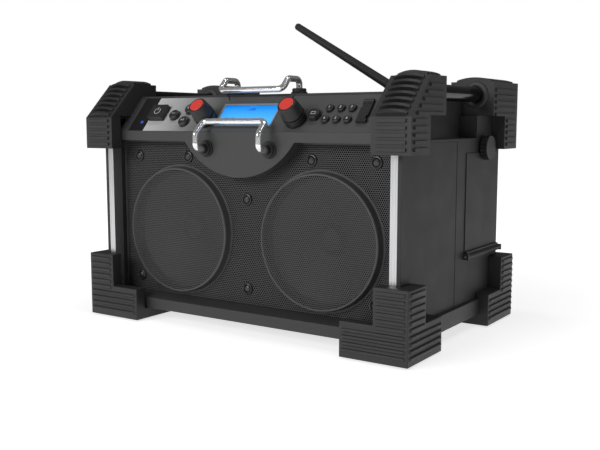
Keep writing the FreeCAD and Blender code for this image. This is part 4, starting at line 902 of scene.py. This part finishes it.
def floor():
    """Matte floor that catches the shadow, with a glow that rises to white away from the object;
    the weaker glow near the object is painted shade round its base.
    """
    mesh = bpy.data.meshes.new("floor")
    reach = 6
    corners = [(-reach, -reach, 0), (reach, -reach, 0), (reach, reach, 0), (-reach, reach, 0)]
    mesh.from_pydata(corners, [], [(0, 1, 2, 3)])
    material = bpy.data.materials.new("floor_white")
    material.use_nodes = True
    tree = material.node_tree
    tree.nodes.clear()
    output = tree.nodes.new("ShaderNodeOutputMaterial")
    matte = tree.nodes.new("ShaderNodeBsdfDiffuse")
    matte.inputs["Color"].default_value = (0.82, 0.82, 0.82, 1)
    place = tree.nodes.new("ShaderNodeTexCoord")
    distance = node_of(tree, "ShaderNodeVectorMath", operation="LENGTH")
    tree.links.new(place.outputs["Object"], distance.inputs[0])
    # Painted shade: the glow is weaker near the object, so the floor round its base stays darker
    # and its cast shadow shows.
    spread = node_of(tree, "ShaderNodeMapRange")
    spread.inputs["From Min"].default_value = 0.3
    spread.inputs["From Max"].default_value = 0.95
    spread.inputs["To Min"].default_value = 0.7
    spread.inputs["To Max"].default_value = 1.0
    tree.links.new(distance.outputs["Value"], spread.inputs["Value"])
    glow = tree.nodes.new("ShaderNodeEmission")
    glow.inputs["Color"].default_value = (1, 1, 1, 1)
    tree.links.new(spread.outputs["Result"], glow.inputs["Strength"])
    both = tree.nodes.new("ShaderNodeAddShader")
    tree.links.new(matte.outputs["BSDF"], both.inputs[0])
    tree.links.new(glow.outputs["Emission"], both.inputs[1])
    mix = tree.nodes.new("ShaderNodeMixShader")
    tree.links.new(seen_directly(tree), mix.inputs["Fac"])
    tree.links.new(matte.outputs["BSDF"], mix.inputs[1])
    tree.links.new(both.outputs["Shader"], mix.inputs[2])
    tree.links.new(mix.outputs["Shader"], output.inputs["Surface"])
    mesh.materials.append(material)
    plane = bpy.data.objects.new("floor", mesh)
    bpy.context.scene.collection.objects.link(plane)


floor()


def world():
    """White where it is seen, faint as a light and in mirror reflections."""
    scene = bpy.context.scene
    scene.world = bpy.data.worlds.new("studio")
    scene.world.use_nodes = True
    tree = scene.world.node_tree
    tree.nodes.clear()
    output = tree.nodes.new("ShaderNodeOutputWorld")
    seen = tree.nodes.new("ShaderNodeBackground")
    seen.inputs["Color"].default_value = (1, 1, 1, 1)
    seen.inputs["Strength"].default_value = 1
    light = tree.nodes.new("ShaderNodeBackground")
    light.inputs["Color"].default_value = (1, 1, 1, 1)
    light.inputs["Strength"].default_value = 0.1
    mix = tree.nodes.new("ShaderNodeMixShader")
    path = tree.nodes.new("ShaderNodeLightPath")
    tree.links.new(math_node(tree, "MAXIMUM", path.outputs["Is Camera Ray"],
                             path.outputs["Is Transmission Ray"]), mix.inputs["Fac"])
    tree.links.new(light.outputs["Background"], mix.inputs[1])
    tree.links.new(seen.outputs["Background"], mix.inputs[2])
    tree.links.new(mix.outputs["Shader"], output.inputs["Surface"])


world()


def lamp(name, spot, target, width, height, power):
    data = bpy.data.lights.new(name, "AREA")
    data.shape = "RECTANGLE"
    data.size = width
    data.size_y = height
    data.energy = power
    source = bpy.data.objects.new(name, data)
    source.location = spot
    aim = Vector(target) - Vector(spot)
    source.rotation_euler = aim.to_track_quat("-Z", "Y").to_euler()
    bpy.context.scene.collection.objects.link(source)


lamp("key", (-0.7, -2.3, 1.15), (0, 0, 0.15), 1.6, 0.9, 26)
lamp("side", (2.5, -0.5, 0.8), (0, 0, 0.15), 1.2, 0.9, 3)
lamp("strip", (0.9, 0, 1.6), (0.2, 0, 0.27), 1.6, 0.05, 2.5)
lamp("top", (0, -0.1, 2.4), (0, 0, 0), 1.2, 0.25, 7)

scene = bpy.context.scene
scene.view_settings.view_transform = "Standard"

bpy.context.view_layer.update()
